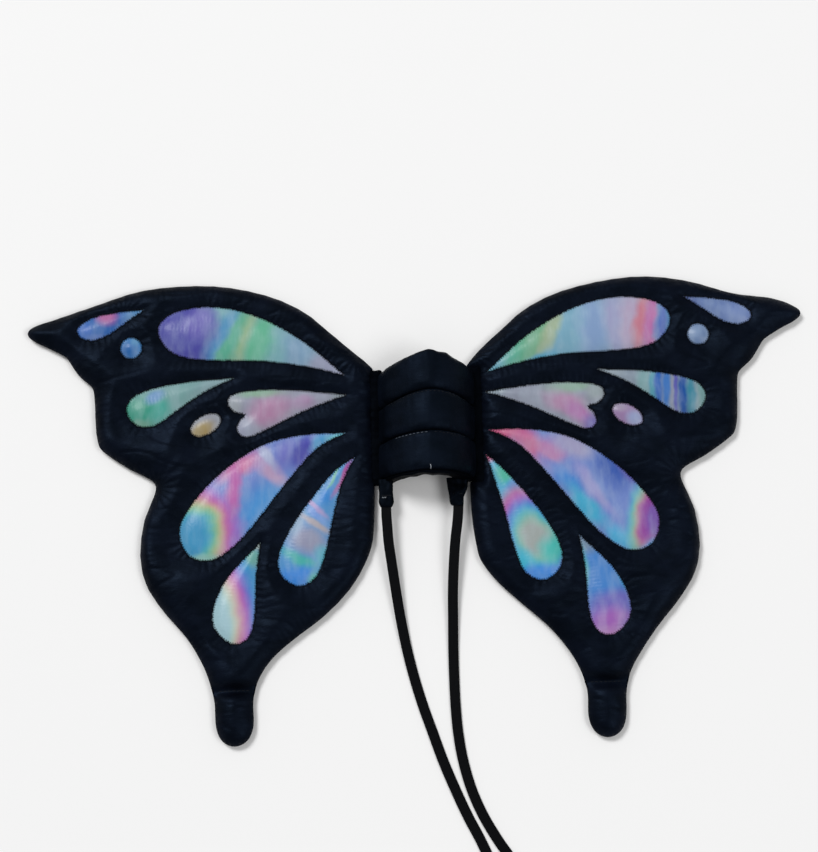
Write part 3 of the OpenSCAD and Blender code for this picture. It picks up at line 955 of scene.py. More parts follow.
upper_row = topstitch("upper_topstitching", 2, -26 * MM, 44 * MM, 2.6 * MM, 0.25 * MM)
lower_row = topstitch("lower_topstitching", 1, 14 * MM, 44 * MM, 2.6 * MM, 0.25 * MM)
bobbin_row = topstitch("bobbin_topstitching", 1, -20 * MM, 13 * MM, 2.4 * MM, 0.3 * MM)
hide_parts("tier_stitching")
tack_x = ARCH_X + 2 * MM
tack_y = seam_at(0, tack_x)
tack_line = np.array([on_band(tack_x + 0.3 * MM * math.sin(k), tack_y + (0.6 + 0.9 * k) * MM, 0.25 * MM)
                      for k in range(5)])
tack = joined("hem_tack", [tube(tack_line, 0.4 * MM)])
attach(tack, "body_band")
print("band stitches:", [len(o.data.vertices) for o in (upper_row, lower_row, bobbin_row, tack)])

# %% [markdown]
# ## Gathered root seams
#
# Each wing hangs from the band by a gathered strip of satin. It's a closed roll, pinched by pleats
# about every 8 mm, and it has to stretch when the wing folds up.

# %% Root gathers
GATHER_TOP = {"left": 6.8 * MM, "right": 9 * MM}


def root_gather(side):
    low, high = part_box(side + "_root_roll")
    middle = (low.x + high.x) / 2 + SIDES[side] * 0.3 * MM
    ys = np.arange(low.y - 4.5 * MM, high.y + GATHER_TOP[side], 1.1 * MM)
    turns = 28
    a = 2 * np.pi * np.arange(turns) / turns
    end = ease((ys - ys[0] + 0.5 * MM) / (2 * MM)) * ease((ys[-1] - ys + 0.5 * MM) / (2 * MM))
    lean = np.array([noise.noise((y / (12 * MM), 0, SIDES[side])) for y in ys])
    pinch = 1 + 0.05 * np.sin(2 * np.pi * ys / (8 * MM) + 4 * lean) + 0.06 * lean
    wide = 6.4 * MM * (0.6 + 0.4 * end) * pinch**0.5
    tall = 3.0 * MM * (0.6 + 0.4 * end) * pinch
    section_x = np.sign(np.cos(a)) * np.abs(np.cos(a))**0.8
    section_z = np.sign(np.sin(a)) * np.abs(np.sin(a))**0.8
    points = np.empty((len(ys), turns, 3))
    points[..., 0] = middle + wide[:, None] * section_x
    points[..., 1] = ys[:, None] + 0.8 * MM * np.sin(3 * a)[None, :]
    points[..., 2] = 3.7 * MM + tall[:, None] * section_z
    lumps = points.reshape(-1, 3) / (np.array([5, 6, 5]) * MM)
    crumple = np.array([noise.noise(lump) for lump in lumps])
    points[..., 2] += 0.7 * MM * crumple.reshape(len(ys), turns)
    roll = make_piece(side + "_root_gather", points.reshape(-1, 3), roll_faces(len(ys), turns))
    smoothed(roll)
    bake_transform(roll)
    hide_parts(side + "_root_roll")
    return roll


# The gathers' near-black finish is painted shade for the dark gap between each wing and the band.
gathers = {side: root_gather(side) for side in SIDES}
print("gathers are", [round(gathers[side].dimensions.y / MM) for side in SIDES], "mm long")

# %% [markdown]
# ## Tabs
#
# A folded tab of satin holds the end of each tie. The left one was cut square with snipped corners,
# and the right one is pulled askew and crumpled. No formula gives that, so each is given as
# sections from top to bottom: Y, left edge, right edge and thickness, in millimetres. A smooth line
# runs through them, noise crumples the result, and bar tacks hold it down.

# %% Tabs
def folded_tab(side, stations, crumple):
    start = ROUTES[side][0]
    rows = smooth_line(np.array(stations), 5)
    sheet = []
    columns = 12
    for y, x0, x1, thick in rows:
        spread = np.linspace(-1, 1, columns + 1)
        xs = (x0 + x1) / 2 + (x1 - x0) / 2 * spread
        half = thick / 2 * np.sqrt(np.clip(1 - np.abs(spread)**6, 0.02, 1))
        ring = [(x, h) for x, h in zip(xs, half)] + [(x, -h) for x, h in zip(xs[::-1], half[::-1])]
        sheet.append([(start[0] + x * MM, y * MM, start[2] + h * MM) for x, h in ring])
    points = np.array(sheet).reshape(-1, 3)
    rumple = np.array([noise.noise((x, y, z + crumple)) for x, y, z in points / (np.array([4, 5, 6]) * MM)])
    points[:, 2] += crumple * MM * rumple
    tab = make_piece(side + "_folded_tab", points, roll_faces(len(sheet), len(sheet[0])))
    smoothed(tab)
    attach(tab, "body_band")
    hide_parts(side + "_tab")
    return tab


LEFT_TAB = [(23.5, -6.6, 6.6, 3.0), (17, -6.4, 6.4, 3.2), (11, -6.2, 6.3, 3.0), (6, -6.4, 6.7, 3.2),
            (3.0, -6.6, 7.0, 4.2), (0.8, -6.2, 6.5, 4.4), (-0.8, -5.5, 5.7, 3.8), (-1.9, -4.8, 5.0, 2.8)]
RIGHT_TAB = [(23.5, -10.2, 9.6, 3.2), (19, -9.8, 9.2, 3.6), (14, -9.2, 8.6, 4.2), (9.5, -8.4, 6.8, 4.4),
             (6, -8.0, 5.2, 4.8), (3, -7.8, 4.9, 5.0), (0.6, -7.4, 4.8, 4.6), (-1.0, -6.6, 4.7, 3.6),
             (-1.9, -5.6, 4.6, 2.8)]
tabs = {"left": folded_tab("left", LEFT_TAB, 0.5), "right": folded_tab("right", RIGHT_TAB, 1.6)}


def bar_tack(side, y, x_from, x_to, height):
    xs = np.arange(x_from, x_to, 0.7)
    start = ROUTES[side][0]
    line = [(start[0] + x * MM, (y + 0.9 * (k % 2)) * MM, start[2] + height * MM) for k, x in enumerate(xs)]
    return tube(np.array(line), THREAD)


tab_stitches = joined("tab_bar_tacks", [bar_tack("left", 8.0, -4.5, 4.8, 1.75),
                                        bar_tack("right", 8.0, -4.5, 4.2, 2.0)])
pale_tack = joined("left_tab_tack", [bar_tack("left", 6.2, -3.4, 0.4, 1.8)])
for piece in (tab_stitches, pale_tack):
    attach(piece, "body_band")
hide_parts("tab_stitching")
print("tabs are", [round(tab.dimensions.x / MM, 1) for tab in tabs.values()], "mm wide")

# %% [markdown]
# ## Stop knots
#
# An overhand knot in flat elastic pulls down to a tight bundle with three lobes and a short free end.
# It could be drawn by hand as a curve, but the trefoil formula gives the same three crossings at
# once: each strand passes over one neighbour and under the next. A tube follows it, and a flat
# ribbon lies beyond it. Each tie and its knot then ride on the band.

# %% Knots
KNOT_SIZE = 1.45 * MM


def overhand_knot(side):
    route = ROUTES[side]
    heading = route[-1] - route[-2]
    heading /= np.linalg.norm(heading)
    aside = np.array([-heading[1], heading[0], 0])
    centre = np.array([route[-1][0], route[-1][1], 0]) + heading * 6 * MM
    t = np.linspace(0, 2 * np.pi, 97)[:-1]
    around = (np.sin(t) + 2 * np.sin(2 * t)) * KNOT_SIZE
    ahead = (np.cos(t) - 2 * np.cos(2 * t)) * KNOT_SIZE
    loop = centre + around[:, None] * aside + ahead[:, None] * heading
    loop[:, 2] = 3.4 * MM - 1.5 * MM * np.sin(3 * t)
    bundle = tube(loop, 1.75 * MM, sides=10, closed=True)
    tail = np.array([centre + heading * d * MM + np.array([0, 0, z * MM]) for d, z in
                     [(1, 2.2), (5, 2.0), (8, 1.5), (12, 1.1), (16, 1.1), (20, 1.1)]])
    free = ribbon_mesh(spaced(smooth_line(tail, 6), MM), flat_section(TIE_WIDTH, TIE_THICK))
    knot = joined(side + "_overhand_knot", [bundle, free])
    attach(knot, "body_band")
    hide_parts(side + "_tie_knot")
    return knot


knots = {side: overhand_knot(side) for side in SIDES}
for side, (tie, line) in ties.items():
    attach(tie, "body_band")
    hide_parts(side + "_tie")
print("knots are", [round(knot.dimensions.y / MM) for knot in knots.values()], "mm long with their free ends")

# %% [markdown]
# ## Materials
#
# Every finish is made from nodes. Object coordinates are in metres here, because no piece is moved
# or scaled, so a weave or a wrinkle can be given its real size.

# %% Material helpers
def tint(code):
    """A screen colour such as "7ba6b2" as the linear colour that a shader takes."""
    parts = [int(code[k:k + 2], 16) / 255 for k in (0, 2, 4)]
    return (*[c / 12.92 if c <= 0.04045 else ((c + 0.055) / 1.055)**2.4 for c in parts], 1)


class Finish:
    """A material with a Principled shader and short ways to add nodes to it."""

    def __init__(self, name, **sockets):
        self.material = bpy.data.materials.new(name)
        self.material.use_nodes = True
        self.tree = self.material.node_tree
        self.shader = self.tree.nodes["Principled BSDF"]
        self.place = self.add("ShaderNodeTexCoord").outputs["Object"]
        for socket, value in sockets.items():
            self.shader.inputs[socket.replace("_", " ")].default_value = value

    def add(self, kind, inputs=None, **settings):
        node = self.tree.nodes.new(kind)
        for key, value in settings.items():
            setattr(node, key, value)
        for key, value in (inputs or {}).items():
            if isinstance(value, bpy.types.NodeSocket):
                self.tree.links.new(value, node.inputs[key])
            else:
                node.inputs[key].default_value = value
        return node

    def noise(self, scale, detail=3.0, stretch=(1, 1, 1), rough=0.5):
        place = self.add("ShaderNodeMapping", {"Vector": self.place, "Scale": stretch}).outputs[0]
        inputs = {"Vector": place, "Scale": scale, "Detail": detail, "Roughness": rough}
        return self.add("ShaderNodeTexNoise", inputs).outputs[0]

    def math(self, operation, a, b=0.0):
        return self.add("ShaderNodeMath", {0: a, 1: b}, operation=operation).outputs[0]

    def ranged(self, value, low, high, new_low, new_high):
        inputs = {"Value": value, "From Min": low, "From Max": high, "To Min": new_low, "To Max": new_high}
        return self.add("ShaderNodeMapRange", inputs, interpolation_type="SMOOTHSTEP").outputs[0]

    def mixed(self, factor, a, b):
        node = self.add("ShaderNodeMix", data_type="RGBA")
        for index, value in ((0, factor), (6, a), (7, b)):
            if isinstance(value, bpy.types.NodeSocket):
                self.tree.links.new(value, node.inputs[index])
            else:
                node.inputs[index].default_value = value
        return node.outputs[2]

    def wave(self, period, axis, distortion=0.0):
        inputs = {"Vector": self.place, "Scale": 0.314159 / period, "Distortion": distortion, "Detail": 1.0}
        return self.add("ShaderNodeTexWave", inputs, bands_direction=axis).outputs["Fac"]

    def bumped(self, layers):
        normal = None
        for height, distance, strength in layers:
            inputs = {"Height": height, "Distance": distance, "Strength": strength}
            if normal is not None:
                inputs["Normal"] = normal
            normal = self.add("ShaderNodeBump", inputs).outputs[0]
        self.tree.links.new(normal, self.shader.inputs["Normal"])

    def link(self, value, socket):
        self.tree.links.new(value, self.shader.inputs[socket])


def paint(piece, finish):
    piece.data.materials.clear()
    piece.data.materials.append(finish.material)


print("a mid grey of 808080 is", round(tint("808080")[0], 3), "as a linear colour")

# %% [markdown]
# ## Satin, lining and thread
#
# The satin is a blue-black polyester. It's nearly black, with a soft low gloss: long floats of
# thread catch the light in one direction. Fine crossing waves give the weave, and stretched noise
# gives the small creases that are too fine to model. Wear shows as small, slightly paler patches.

# %% Satin family
BLUE_GLOSS = (0.36, 0.58, 1.0, 1)


def woven(name, dark, pale, roughness, specular, thread, crease_depth):
    finish = Finish(name, Specular_IOR_Level=specular, Specular_Tint=BLUE_GLOSS)
    cloudy = finish.noise(38, 4, (1, 1.6, 1))
    worn = finish.noise(210, 5)
    colour = finish.mixed(finish.ranged(cloudy, 0.35, 0.68, 0, 1), tint(dark), tint(pale))
    finish.link(finish.mixed(finish.ranged(worn, 0.62, 0.82, 0, 0.35), colour, tint(pale)), "Base Color")
    finish.link(finish.ranged(finish.noise(90, 3), 0.3, 0.7, roughness - 0.06, roughness + 0.08), "Roughness")
    weave = finish.math("MULTIPLY", finish.wave(thread, "X"), finish.wave(thread * 0.8, "Y"))
    creases = finish.noise(75, 5, (0.55, 1.5, 1), 0.6)
    finish.bumped([(creases, crease_depth, 0.5), (weave, 0.00006, 0.35)])
    return finish


satin = woven("navy_satin", "04060c", "080c16", 0.43, 0.085, 0.0005, 0.0012)
band_satin = woven("band_satin", "04070d", "080d16", 0.48, 0.08, 0.0005, 0.0010)
tab_satin = woven("tab_satin", "020305", "05070b", 0.5, 0.06, 0.0005, 0.0015)
# Painted shade: this near-black satin stands for the deep shadow in the gaps beside the band and under its lower
# edge, where the root gathers and the rolled hem lie.
painted_shade_satin = woven("painted_shade_satin", "010102", "030406", 0.6, 0.03, 0.0005, 0.0015)
# The lining is dark cloth made darker still with painted shade, for the inside of the tunnel where little light
# reaches.
lining_cloth = woven("black_lining", "020304", "050609", 0.7, 0.04, 0.0007, 0.0008)


def sewing_thread(name, dark, pale):
    finish = Finish(name, Roughness=0.5, Specular_IOR_Level=0.2)
    ply = finish.wave(0.0006, "DIAGONAL", 1.0)
    finish.link(finish.mixed(ply, tint(dark), tint(pale)), "Base Color")
    finish.bumped([(ply, 0.00015, 0.6)])
    return finish


dark_thread = sewing_thread("dark_thread", "07090e", "151a24")
bobbin_thread = sewing_thread("bobbin_thread", "3c434e", "6e7682")
pale_thread = sewing_thread("pale_thread", "7d838c", "b4bac2")

wadding_fluff = Finish("polyester_wadding", Roughness=0.95, Sheen_Weight=0.3, Specular_IOR_Level=0.1)
tufts = wadding_fluff.noise(260, 6, rough=0.7)
wadding_fluff.link(wadding_fluff.mixed(tufts, tint("c9c9c4"), tint("efefeb")), "Base Color")
wadding_fluff.bumped([(tufts, 0.002, 0.8)])
FABRICS = [satin, band_satin, tab_satin, painted_shade_satin, lining_cloth, wadding_fluff, dark_thread]
print("fabric finishes:", [finish.material.name for finish in FABRICS])

# %% [markdown]
# ## Elastic
#
# Flat elastic has fine ribs along its length, where the rubber runs, and a herringbone of yarn
# across them. The ribbon carries how far along and how far across each point is, in metres, so the
# ribs follow every bend.

# %% Ribbed elastic
RIB = 1.1 * MM
YARN = 1.3 * MM


def ribbed_elastic():
    finish = Finish("ribbed_elastic", Roughness=0.6, Specular_IOR_Level=0.06)
    across = finish.add("ShaderNodeAttribute", attribute_name="across").outputs["Fac"]
    along = finish.add("ShaderNodeAttribute", attribute_name="along").outputs["Fac"]
    rib = finish.math("SINE", finish.math("MULTIPLY", across, 2 * math.pi / RIB))
    lean = finish.math("ADD", finish.math("MULTIPLY", along, 2 * math.pi / YARN), finish.math("MULTIPLY", rib, 0.9))
    yarn = finish.math("SINE", lean)
    height = finish.math("ADD", finish.math("MULTIPLY", rib, 0.7), finish.math("MULTIPLY", yarn, 0.35))
    shade = finish.ranged(height, -1, 1, 0, 1)
    finish.link(finish.mixed(shade, tint("020203"), tint("0b0d11")), "Base Color")
    finish.bumped([(height, 0.0002, 0.7)])
    return finish


elastic = ribbed_elastic()
print("elastic has", round(TIE_WIDTH / RIB), "ribs across its width")

# %% [markdown]
# ## Iridescent windows
#
# The foil is a thin polyester film with a printed rainbow under a light-bending surface. Each window
# was cut from another place on the roll, so each one has its own colours. A window starts from one
# colour, and soft oval patches are laid over it. A patch is placed by fractions of that window's own
# box: across, up, half width, half height, turn in degrees, colour, and how soft its edge is.
# A rainbow is a nest of patches in one place, each smaller than the last.

# %% Foil colours
def rainbow(across, upward, wide, tall, turn, codes, inner=0.35):
    """Nested patches, from the outermost colour to the one in the middle."""
    codes = codes.split()
    steps = np.linspace(1, inner, len(codes))
    return [(across, upward, wide * k, tall * k, turn, code, 0.3) for k, code in zip(steps, codes)]


FOILS = {
    ("left", "fore"): ("86b4ba", [
        (0.95, 0.12, 0.20, 0.14, 0, "a9a4bc", 0.9), (0.76, 0.35, 0.09, 0.14, -20, "8ea8c4", 0.9),
        (0.55, 0.50, 0.07, 0.24, -22, "74bf9c", 0.9), (0.46, 0.60, 0.05, 0.22, -18, "a6be96", 0.9),
        (0.385, 0.45, 0.05, 0.24, -24, "5fb394", 0.9),
        (0.31, 0.50, 0.045, 0.24, -26, "5b9ac6", 0.9), (0.10, 0.50, 0.19, 0.28, -24, "5852aa", 0.4),
        (0.22, 0.80, 0.08, 0.10, -24, "7868bc", 0.9)]),
    ("left", "tip"): ("2c66b4", [
        (0.90, 0.88, 0.20, 0.12, 20, "4c86bc", 0.8), (0.45, 0.80, 0.15, 0.13, 10, "c468a2", 0.9),
        (0.12, 0.35, 0.12, 0.14, 0, "3468c0", 0.8), (0.30, 0.10, 0.16, 0.06, 0, "5a78c0", 0.9)]),
    ("left", "dot"): ("3f80c0", [(0.30, 0.35, 0.4, 0.4, 0, "2c6ab0", 0.9), (0.7, 0.8, 0.2, 0.2, 0, "5a94c4", 0.9)]),
    ("left", "mid"): ("86aaa8", [
        (0.82, 0.88, 0.25, 0.10, 15, "90a8ac", 0.9), (0.28, 0.30, 0.14, 0.10, 35, "4eae9e", 0.9),
        (0.08, 0.30, 0.17, 0.17, 30, "3a9c82", 0.8), (0.25, 0.60, 0.09, 0.06, 30, "6c96c6", 0.9),
        (0.12, 0.05, 0.12, 0.05, 0, "78a890", 0.9)]),
    ("left", "heart"): ("a49cae", [
        (0.28, 0.93, 0.20, 0.05, 0, "98b49a", 0.9), (0.36, 0.55, 0.18, 0.12, 20, "c184a8", 0.95),
        (0.62, 0.68, 0.12, 0.05, 10, "b68cae", 0.9), (0.12, 0.12, 0.12, 0.12, 0, "aaa4b8", 0.9),
        (0.95, 0.86, 0.10, 0.05, 0, "9c9ea6", 0.9), (0.05, 0.70, 0.08, 0.08, 0, "aeaab0", 0.9)]),
    ("left", "oval"): ("a49ca4", [(0.35, 0.25, 0.45, 0.26, 28, "b69560", 0.8)]),
    ("left", "hind"): ("7f8fd2", [
        (0.50, 0.40, 0.24, 0.13, 45, "4798de", 0.9), (0.34, 0.12, 0.07, 0.16, 0, "a878cc", 0.9),
        *rainbow(0.08, 0.20, 0.265, 0.32, 0, "b86ccc d262ac dc8ea2 d8bc9a a9c490 6cbcae 4fa8c6 4a9cc8"),
        (0.36, 0.75, 0.16, 0.06, 28, "dc7caa", 0.95), (0.325, 0.56, 0.045, 0.17, -4, "d06cb4", 0.9),
        (0.56, 0.70, 0.12, 0.05, -40, "cda2c6", 0.95), (0.53, 0.82, 0.09, 0.03, -50, "bcb8da", 0.9),
        (0.64, 0.84, 0.06, 0.10, -25, "7f7cca", 0.9), (0.75, 0.86, 0.06, 0.10, -25, "544fb2", 0.8),
        (0.87, 0.91, 0.06, 0.07, -20, "4a9cd2", 0.9), (0.97, 0.97, 0.07, 0.04, 0, "7cc8d6", 0.9),
        (0.14, 0.01, 0.12, 0.04, 0, "a4cfc4", 0.9)]),
    ("left", "inner"): ("5a9ad4", [
        (0.38, 0.36, 0.15, 0.12, -20, "a59eb8", 0.9), (0.25, 0.50, 0.05, 0.12, -30, "9cb0cc", 0.9),
        (0.50, 0.49, 0.14, 0.032, -30, "c2aeb4", 0.95), (0.52, 0.56, 0.12, 0.03, -40, "86a4e4", 0.9),
        (0.50, 0.63, 0.14, 0.022, -45, "c3a2d4", 0.9), (0.66, 0.70, 0.10, 0.06, 60, "4690da", 0.9),
        (0.56, 0.22, 0.08, 0.10, 0, "5cb6cc", 0.9), (0.28, 0.20, 0.17, 0.045, -38, "54b8b2", 0.95),
        (0.20, 0.07, 0.20, 0.09, 0, "3a8ce4", 0.9), (0.44, 0.05, 0.05, 0.06, 40, "54b8b0", 0.9),
        (0.86, 0.84, 0.16, 0.022, 64, "bf4fa0", 0.9), (0.74, 0.86, 0.10, 0.015, 62, "78bca8", 0.9)]),
    ("left", "lower"): ("4c9cd0", [
        (0.86, 0.86, 0.10, 0.10, 0, "78b0a8", 0.9), (0.60, 0.72, 0.10, 0.06, 60, "48a8cc", 0.9),
        *rainbow(-0.02, 0.15, 0.44, 0.92, 0, "4c84da 7c70d0 c066c4 de7cb6 e4b4ae d8d2ba bcd4d2 b2ced6", 0.42),
        (0.05, 0.50, 0.05, 0.12, -20, "a2c4da", 0.9), (0.98, 0.98, 0.10, 0.06, 0, "a2aaa8", 0.9)]),
    ("right", "fore"): ("88b2c8", [
        (0.06, 0.06, 0.12, 0.08, 30, "6ca6bc", 0.9), (0.18, 0.32, 0.07, 0.16, -35, "64b498", 0.9),
        (0.29, 0.50, 0.07, 0.20, -30, "80b48c", 0.9), (0.36, 0.56, 0.04, 0.17, -25, "b0ba98", 0.9),
        (0.26, 0.12, 0.14, 0.04, 15, "62a8c6", 0.9),
        (0.58, 0.60, 0.08, 0.25, -5, "94a8d0", 0.9), (0.70, 0.60, 0.07, 0.25, -5, "b0a8cc", 0.9),
        (0.775, 0.60, 0.05, 0.25, -6, "c6aac6", 0.9), (0.84, 0.62, 0.04, 0.24, -6, "dc8496", 0.9),
        (0.888, 0.62, 0.035, 0.24, -6, "d274b0", 0.9), (0.965, 0.55, 0.055, 0.25, -6, "5f74c2", 0.7),
        (1.0, 0.55, 0.03, 0.20, 0, "588ec0", 0.9)]),
    ("right", "tip"): ("6f80b4", [
        (0.80, 0.35, 0.24, 0.16, -20, "808ec2", 0.9), (0.06, 0.92, 0.16, 0.10, -20, "4a5a98", 0.9)]),
    ("right", "dot"): ("7a8cb4", [(0.4, 0.6, 0.3, 0.3, 0, "8c9cc0", 0.9)]),
    ("right", "mid"): ("9499a8", [
        (0.10, 0.95, 0.14, 0.08, 0, "a4a8b2", 0.9), (0.44, 0.65, 0.07, 0.30, 5, "8fadb0", 0.9),
        (0.52, 0.65, 0.03, 0.30, 5, "66a4b6", 0.9), (0.565, 0.60, 0.03, 0.30, 5, "3468ba", 0.9),
        (0.63, 0.55, 0.035, 0.30, 5, "4a7cc4", 0.9), (0.685, 0.55, 0.016, 0.30, 4, "9a98ae", 0.9),
        (0.72, 0.50, 0.022, 0.30, 4, "625cb0", 0.9), (0.79, 0.45, 0.05, 0.30, 3, "1a52a0", 0.8),
        (0.86, 0.40, 0.04, 0.30, 2, "34869e", 0.9), (0.97, 0.40, 0.07, 0.30, 0, "86a8a8", 0.8)]),
    ("right", "heart"): ("a09cac", [
        (0.05, 0.92, 0.12, 0.08, 0, "98a0aa", 0.9), (0.72, 0.90, 0.20, 0.06, 0, "9ab09c", 0.9),
        (0.92, 0.75, 0.08, 0.07, 0, "a4a6a8", 0.9), (0.66, 0.56, 0.18, 0.09, -20, "c48cae", 0.95),
        (0.76, 0.34, 0.14, 0.07, -35, "c078b0", 0.9), (0.90, 0.10, 0.10, 0.08, -30, "8574b8", 0.9)]),
    ("right", "oval"): ("aa84ae", [
        (0.75, 0.30, 0.30, 0.25, -30, "a4a4cc", 0.9), (0.2, 0.85, 0.3, 0.15, -20, "b49ab4", 0.9)]),
    ("right", "hind"): ("7d8ed0", [
        (0.06, 0.98, 0.18, 0.07, -10, "da5a86", 0.8), (0.24, 0.86, 0.14, 0.07, -30, "d86c9a", 0.9),
        (0.36, 0.80, 0.08, 0.09, -40, "cc88b8", 0.9), (0.50, 0.86, 0.12, 0.08, -30, "b2a4c8", 0.9),
        (0.38, 0.66, 0.12, 0.03, -48, "9482cc", 0.9), (0.46, 0.55, 0.14, 0.045, -50, "528ed8", 0.9),
        (0.56, 0.34, 0.16, 0.05, -52, "4cb2d6", 0.9), (0.76, 0.10, 0.10, 0.05, -30, "54b4e0", 0.9),
        (0.72, 0.66, 0.15, 0.10, -50, "4562b6", 0.9), (0.84, 0.60, 0.10, 0.05, -45, "675cb6", 0.9),
        (0.60, 0.50, 0.19, 0.035, -58, "a69ad2", 0.95),
        *rainbow(1.0, 0.26, 0.20, 0.36, -16, "62b4d6 84c8b8 b8b49c c874a4 a84ea4 a24ca6 984fac 8a5ab4", 0.35),
        (0.94, 0.02, 0.10, 0.04, 20, "58a2e2", 0.9)]),
    ("right", "inner"): ("5cb2da", [
        (0.24, 0.84, 0.08, 0.08, 0, "5cc2a8", 0.9), (0.36, 0.76, 0.07, 0.05, 40, "64a0d8", 0.9),
        *rainbow(0.66, 0.33, 0.29, 0.43, 22, "d8769c cc66ba 8a70d0 5290da 56b6d4 7cc0b8 aabcb0 b4b2ae", 0.3),
        (0.86, 0.24, 0.10, 0.12, 0, "56c4ba", 0.9), (0.45, 0.16, 0.10, 0.10, 0, "50bed8", 0.9),
        (0.78, 0.05, 0.24, 0.08, 0, "388ee8", 0.9), (0.10, 0.98, 0.16, 0.05, 0, "d65c88", 0.8)]),
    ("right", "lower"): ("4c88d2", [
        (0.12, 0.92, 0.16, 0.12, 0, "7d8ea8", 0.9), (0.05, 0.66, 0.05, 0.20, 0, "5cb2be", 0.9),
        (0.92, 0.50, 0.04, 0.12, 30, "58a6dc", 0.9), (0.62, 0.32, 0.26, 0.12, 10, "7c6cc2", 0.95),
        (0.55, 0.14, 0.28, 0.13, 5, "b26abe", 0.95), (0.48, 0.0, 0.26, 0.09, 0, "d290cc", 0.9)])}

print("patches of colour:", sum(len(patches) for _, patches in FOILS.values()), "in", len(FOILS), "windows")

# %% [markdown]
# ## Foil finish
#
# Thin-film iridescence changes with the angle, which a plain model can't carry to other programs.
# So the colours are laid on the surface itself, where they stay. Slow noise pushes the patches
# about and bends them into the swirls of a real film. Fine streaks of white are the crazed surface,
# one shade deepens every window alike, and shallow bumps give the low, even gloss its grain.

# %% Foil finish
FOIL_SHADE = (0.69, 0.79, 0.81)
SWIRL = 0.13
STREAK_PITCH = 3.3 * MM


def foil_finish(side, window):
    base, patches = FOILS[side, window]
    finish = Finish(side + "_" + window + "_foil", Roughness=0.34, Specular_IOR_Level=0.2, Coat_Weight=0.03,
                    Coat_Roughness=0.2)
    low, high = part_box(side + "_" + window + "_film")
    size, longest = high - low, max(high.x - low.x, high.y - low.y)
    drift = finish.add("ShaderNodeTexNoise", {"Vector": finish.place, "Scale": 30.0, "Detail": 3.0}).outputs["Color"]
    drift = finish.add("ShaderNodeVectorMath", {0: drift, 1: (0.5, 0.5, 0.5)}, operation="SUBTRACT").outputs[0]
    drift = finish.add("ShaderNodeVectorMath", {0: drift, "Scale": SWIRL * longest}, operation="SCALE").outputs[0]
    place = finish.add("ShaderNodeVectorMath", {0: finish.place, 1: drift}, operation="ADD").outputs[0]
    place = finish.add("ShaderNodeVectorMath", {0: place, 1: (1, 1, 0)}, operation="MULTIPLY").outputs[0]
    colour = tint(base)
    for across, upward, wide, tall, turn, code, soft in patches:
        centre = (low.x + across * size.x, low.y + upward * size.y, 0)
        frame_of_patch = {"Vector": place, "Location": centre, "Rotation": (0, 0, math.radians(turn)),
                          "Scale": (wide * longest, tall * longest, 1)}
        local = finish.add("ShaderNodeMapping", frame_of_patch, vector_type="TEXTURE").outputs[0]
        far = finish.add("ShaderNodeVectorMath", {0: local}, operation="LENGTH").outputs["Value"]
        colour = finish.mixed(finish.ranged(far, 1 - 0.75 * soft, 1 + 0.55 * soft, 1, 0), colour, tint(code))
    grain = finish.ranged(finish.noise(120, 5, (1, 0.35, 1)), 0.3, 0.75, 0.0, 0.16)
    colour = finish.mixed(grain, colour, tint("e6ecf6"))
    deepened = finish.add("ShaderNodeVectorMath", {0: colour, 1: FOIL_SHADE}, operation="MULTIPLY").outputs[0]
    finish.link(deepened, "Base Color")
    along = finish.wave(STREAK_PITCH, "X" if size.x > size.y else "Y", 3.0)
    finish.bumped([(finish.noise(140, 4), 0.0008, 0.3), (along, 0.0001, 0.3)])
    return finish


film = {(side, window): foil_finish(side, window) for side in SIDES for window in WINDOWS}
print("made", len(film), "foil finishes")

# %% [markdown]
# ## Finishes on the pieces
#
# Each piece now takes its finish. Every window has one of its own, and the other finishes are
# shared, so that a change to the satin changes it everywhere. One table says which goes where.

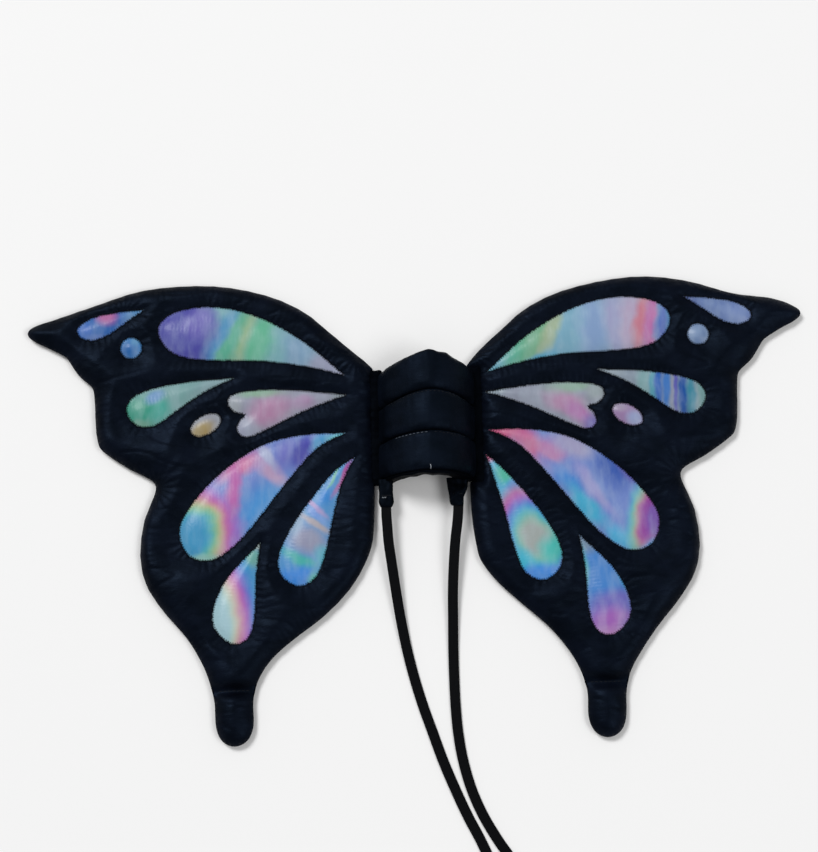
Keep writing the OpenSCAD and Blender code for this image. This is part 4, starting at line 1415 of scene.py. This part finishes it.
# %% Paint
for window, foil in foils.items():
    paint(foil, film[window])
ELASTIC_TIES = [tie for tie, _ in ties.values()]
WORN_BY = [
    (satin, fronts.values()), (band_satin, tiers.values()), (tab_satin, tabs.values()),
    # The root gathers and the hem take the near-black satin that is painted shade.
    (painted_shade_satin, [*gathers.values(), hem]), (lining_cloth, [*backs.values(), lining]),
    (elastic, [*ELASTIC_TIES, *knots.values()]), (wadding_fluff, waddings.values()),
    (dark_thread, [*window_stitches.values(), *crease_stitches.values(), upper_row, lower_row, tab_stitches]),
    (bobbin_thread, [bobbin_row]), (pale_thread, [tack, pale_tack])]
for finish, pieces in WORN_BY:
    for piece in pieces:
        paint(piece, finish)
print("made", len(bpy.data.materials), "materials")

# %% [markdown]
# ## Floor and light
#
# The wings lie on a plain pale sheet. One broad soft lamp at the upper left leaves a faint shadow
# to the lower right, and an even pale sky fills in the rest.

# %% Studio
FLOOR_REACH = 25
FLOOR_DROP = 0.5 * MM
floor_mesh = bpy.data.meshes.new("studio_floor")
floor_mesh.from_pydata([(x * FLOOR_REACH, y * FLOOR_REACH, 0) for x, y in ((-1, -1), (1, -1), (1, 1), (-1, 1))],
                       [], [(0, 1, 2, 3)])
floor = bpy.data.objects.new("studio_floor", floor_mesh)
bpy.context.scene.collection.objects.link(floor)
floor.location.z = -FLOOR_DROP
floor_finish = Finish("pale_paper", Roughness=0.9, Specular_IOR_Level=0.0)
floor_finish.shader.inputs["Base Color"].default_value = (0.9, 0.9, 0.9, 1)
paint(floor, floor_finish)

SKY = 0.32
world = bpy.data.worlds.new("studio_sky")
world.use_nodes = True
world.node_tree.nodes["Background"].inputs["Color"].default_value = (1, 1, 1, 1)
world.node_tree.nodes["Background"].inputs["Strength"].default_value = SKY
bpy.context.scene.world = world


def softbox(name, location, size, power):
    light = bpy.data.lights.new(name, "AREA")
    light.size = size
    light.energy = power
    lamp = bpy.data.objects.new(name, light)
    lamp.location = location
    lamp.rotation_euler = (-Vector(location)).to_track_quat("-Z", "Y").to_euler()
    bpy.context.scene.collection.objects.link(lamp)
    return lamp


lamps = [softbox("key_softbox", (-4.2, 4.4, 7.4), 3.4, 583), softbox("fill_softbox", (3.6, -1.7, 5.0), 3.0, 120)]
bpy.context.scene.view_settings.view_transform = "Standard"
print("lamps:", {lamp.name: lamp.data.energy for lamp in lamps}, "watts")
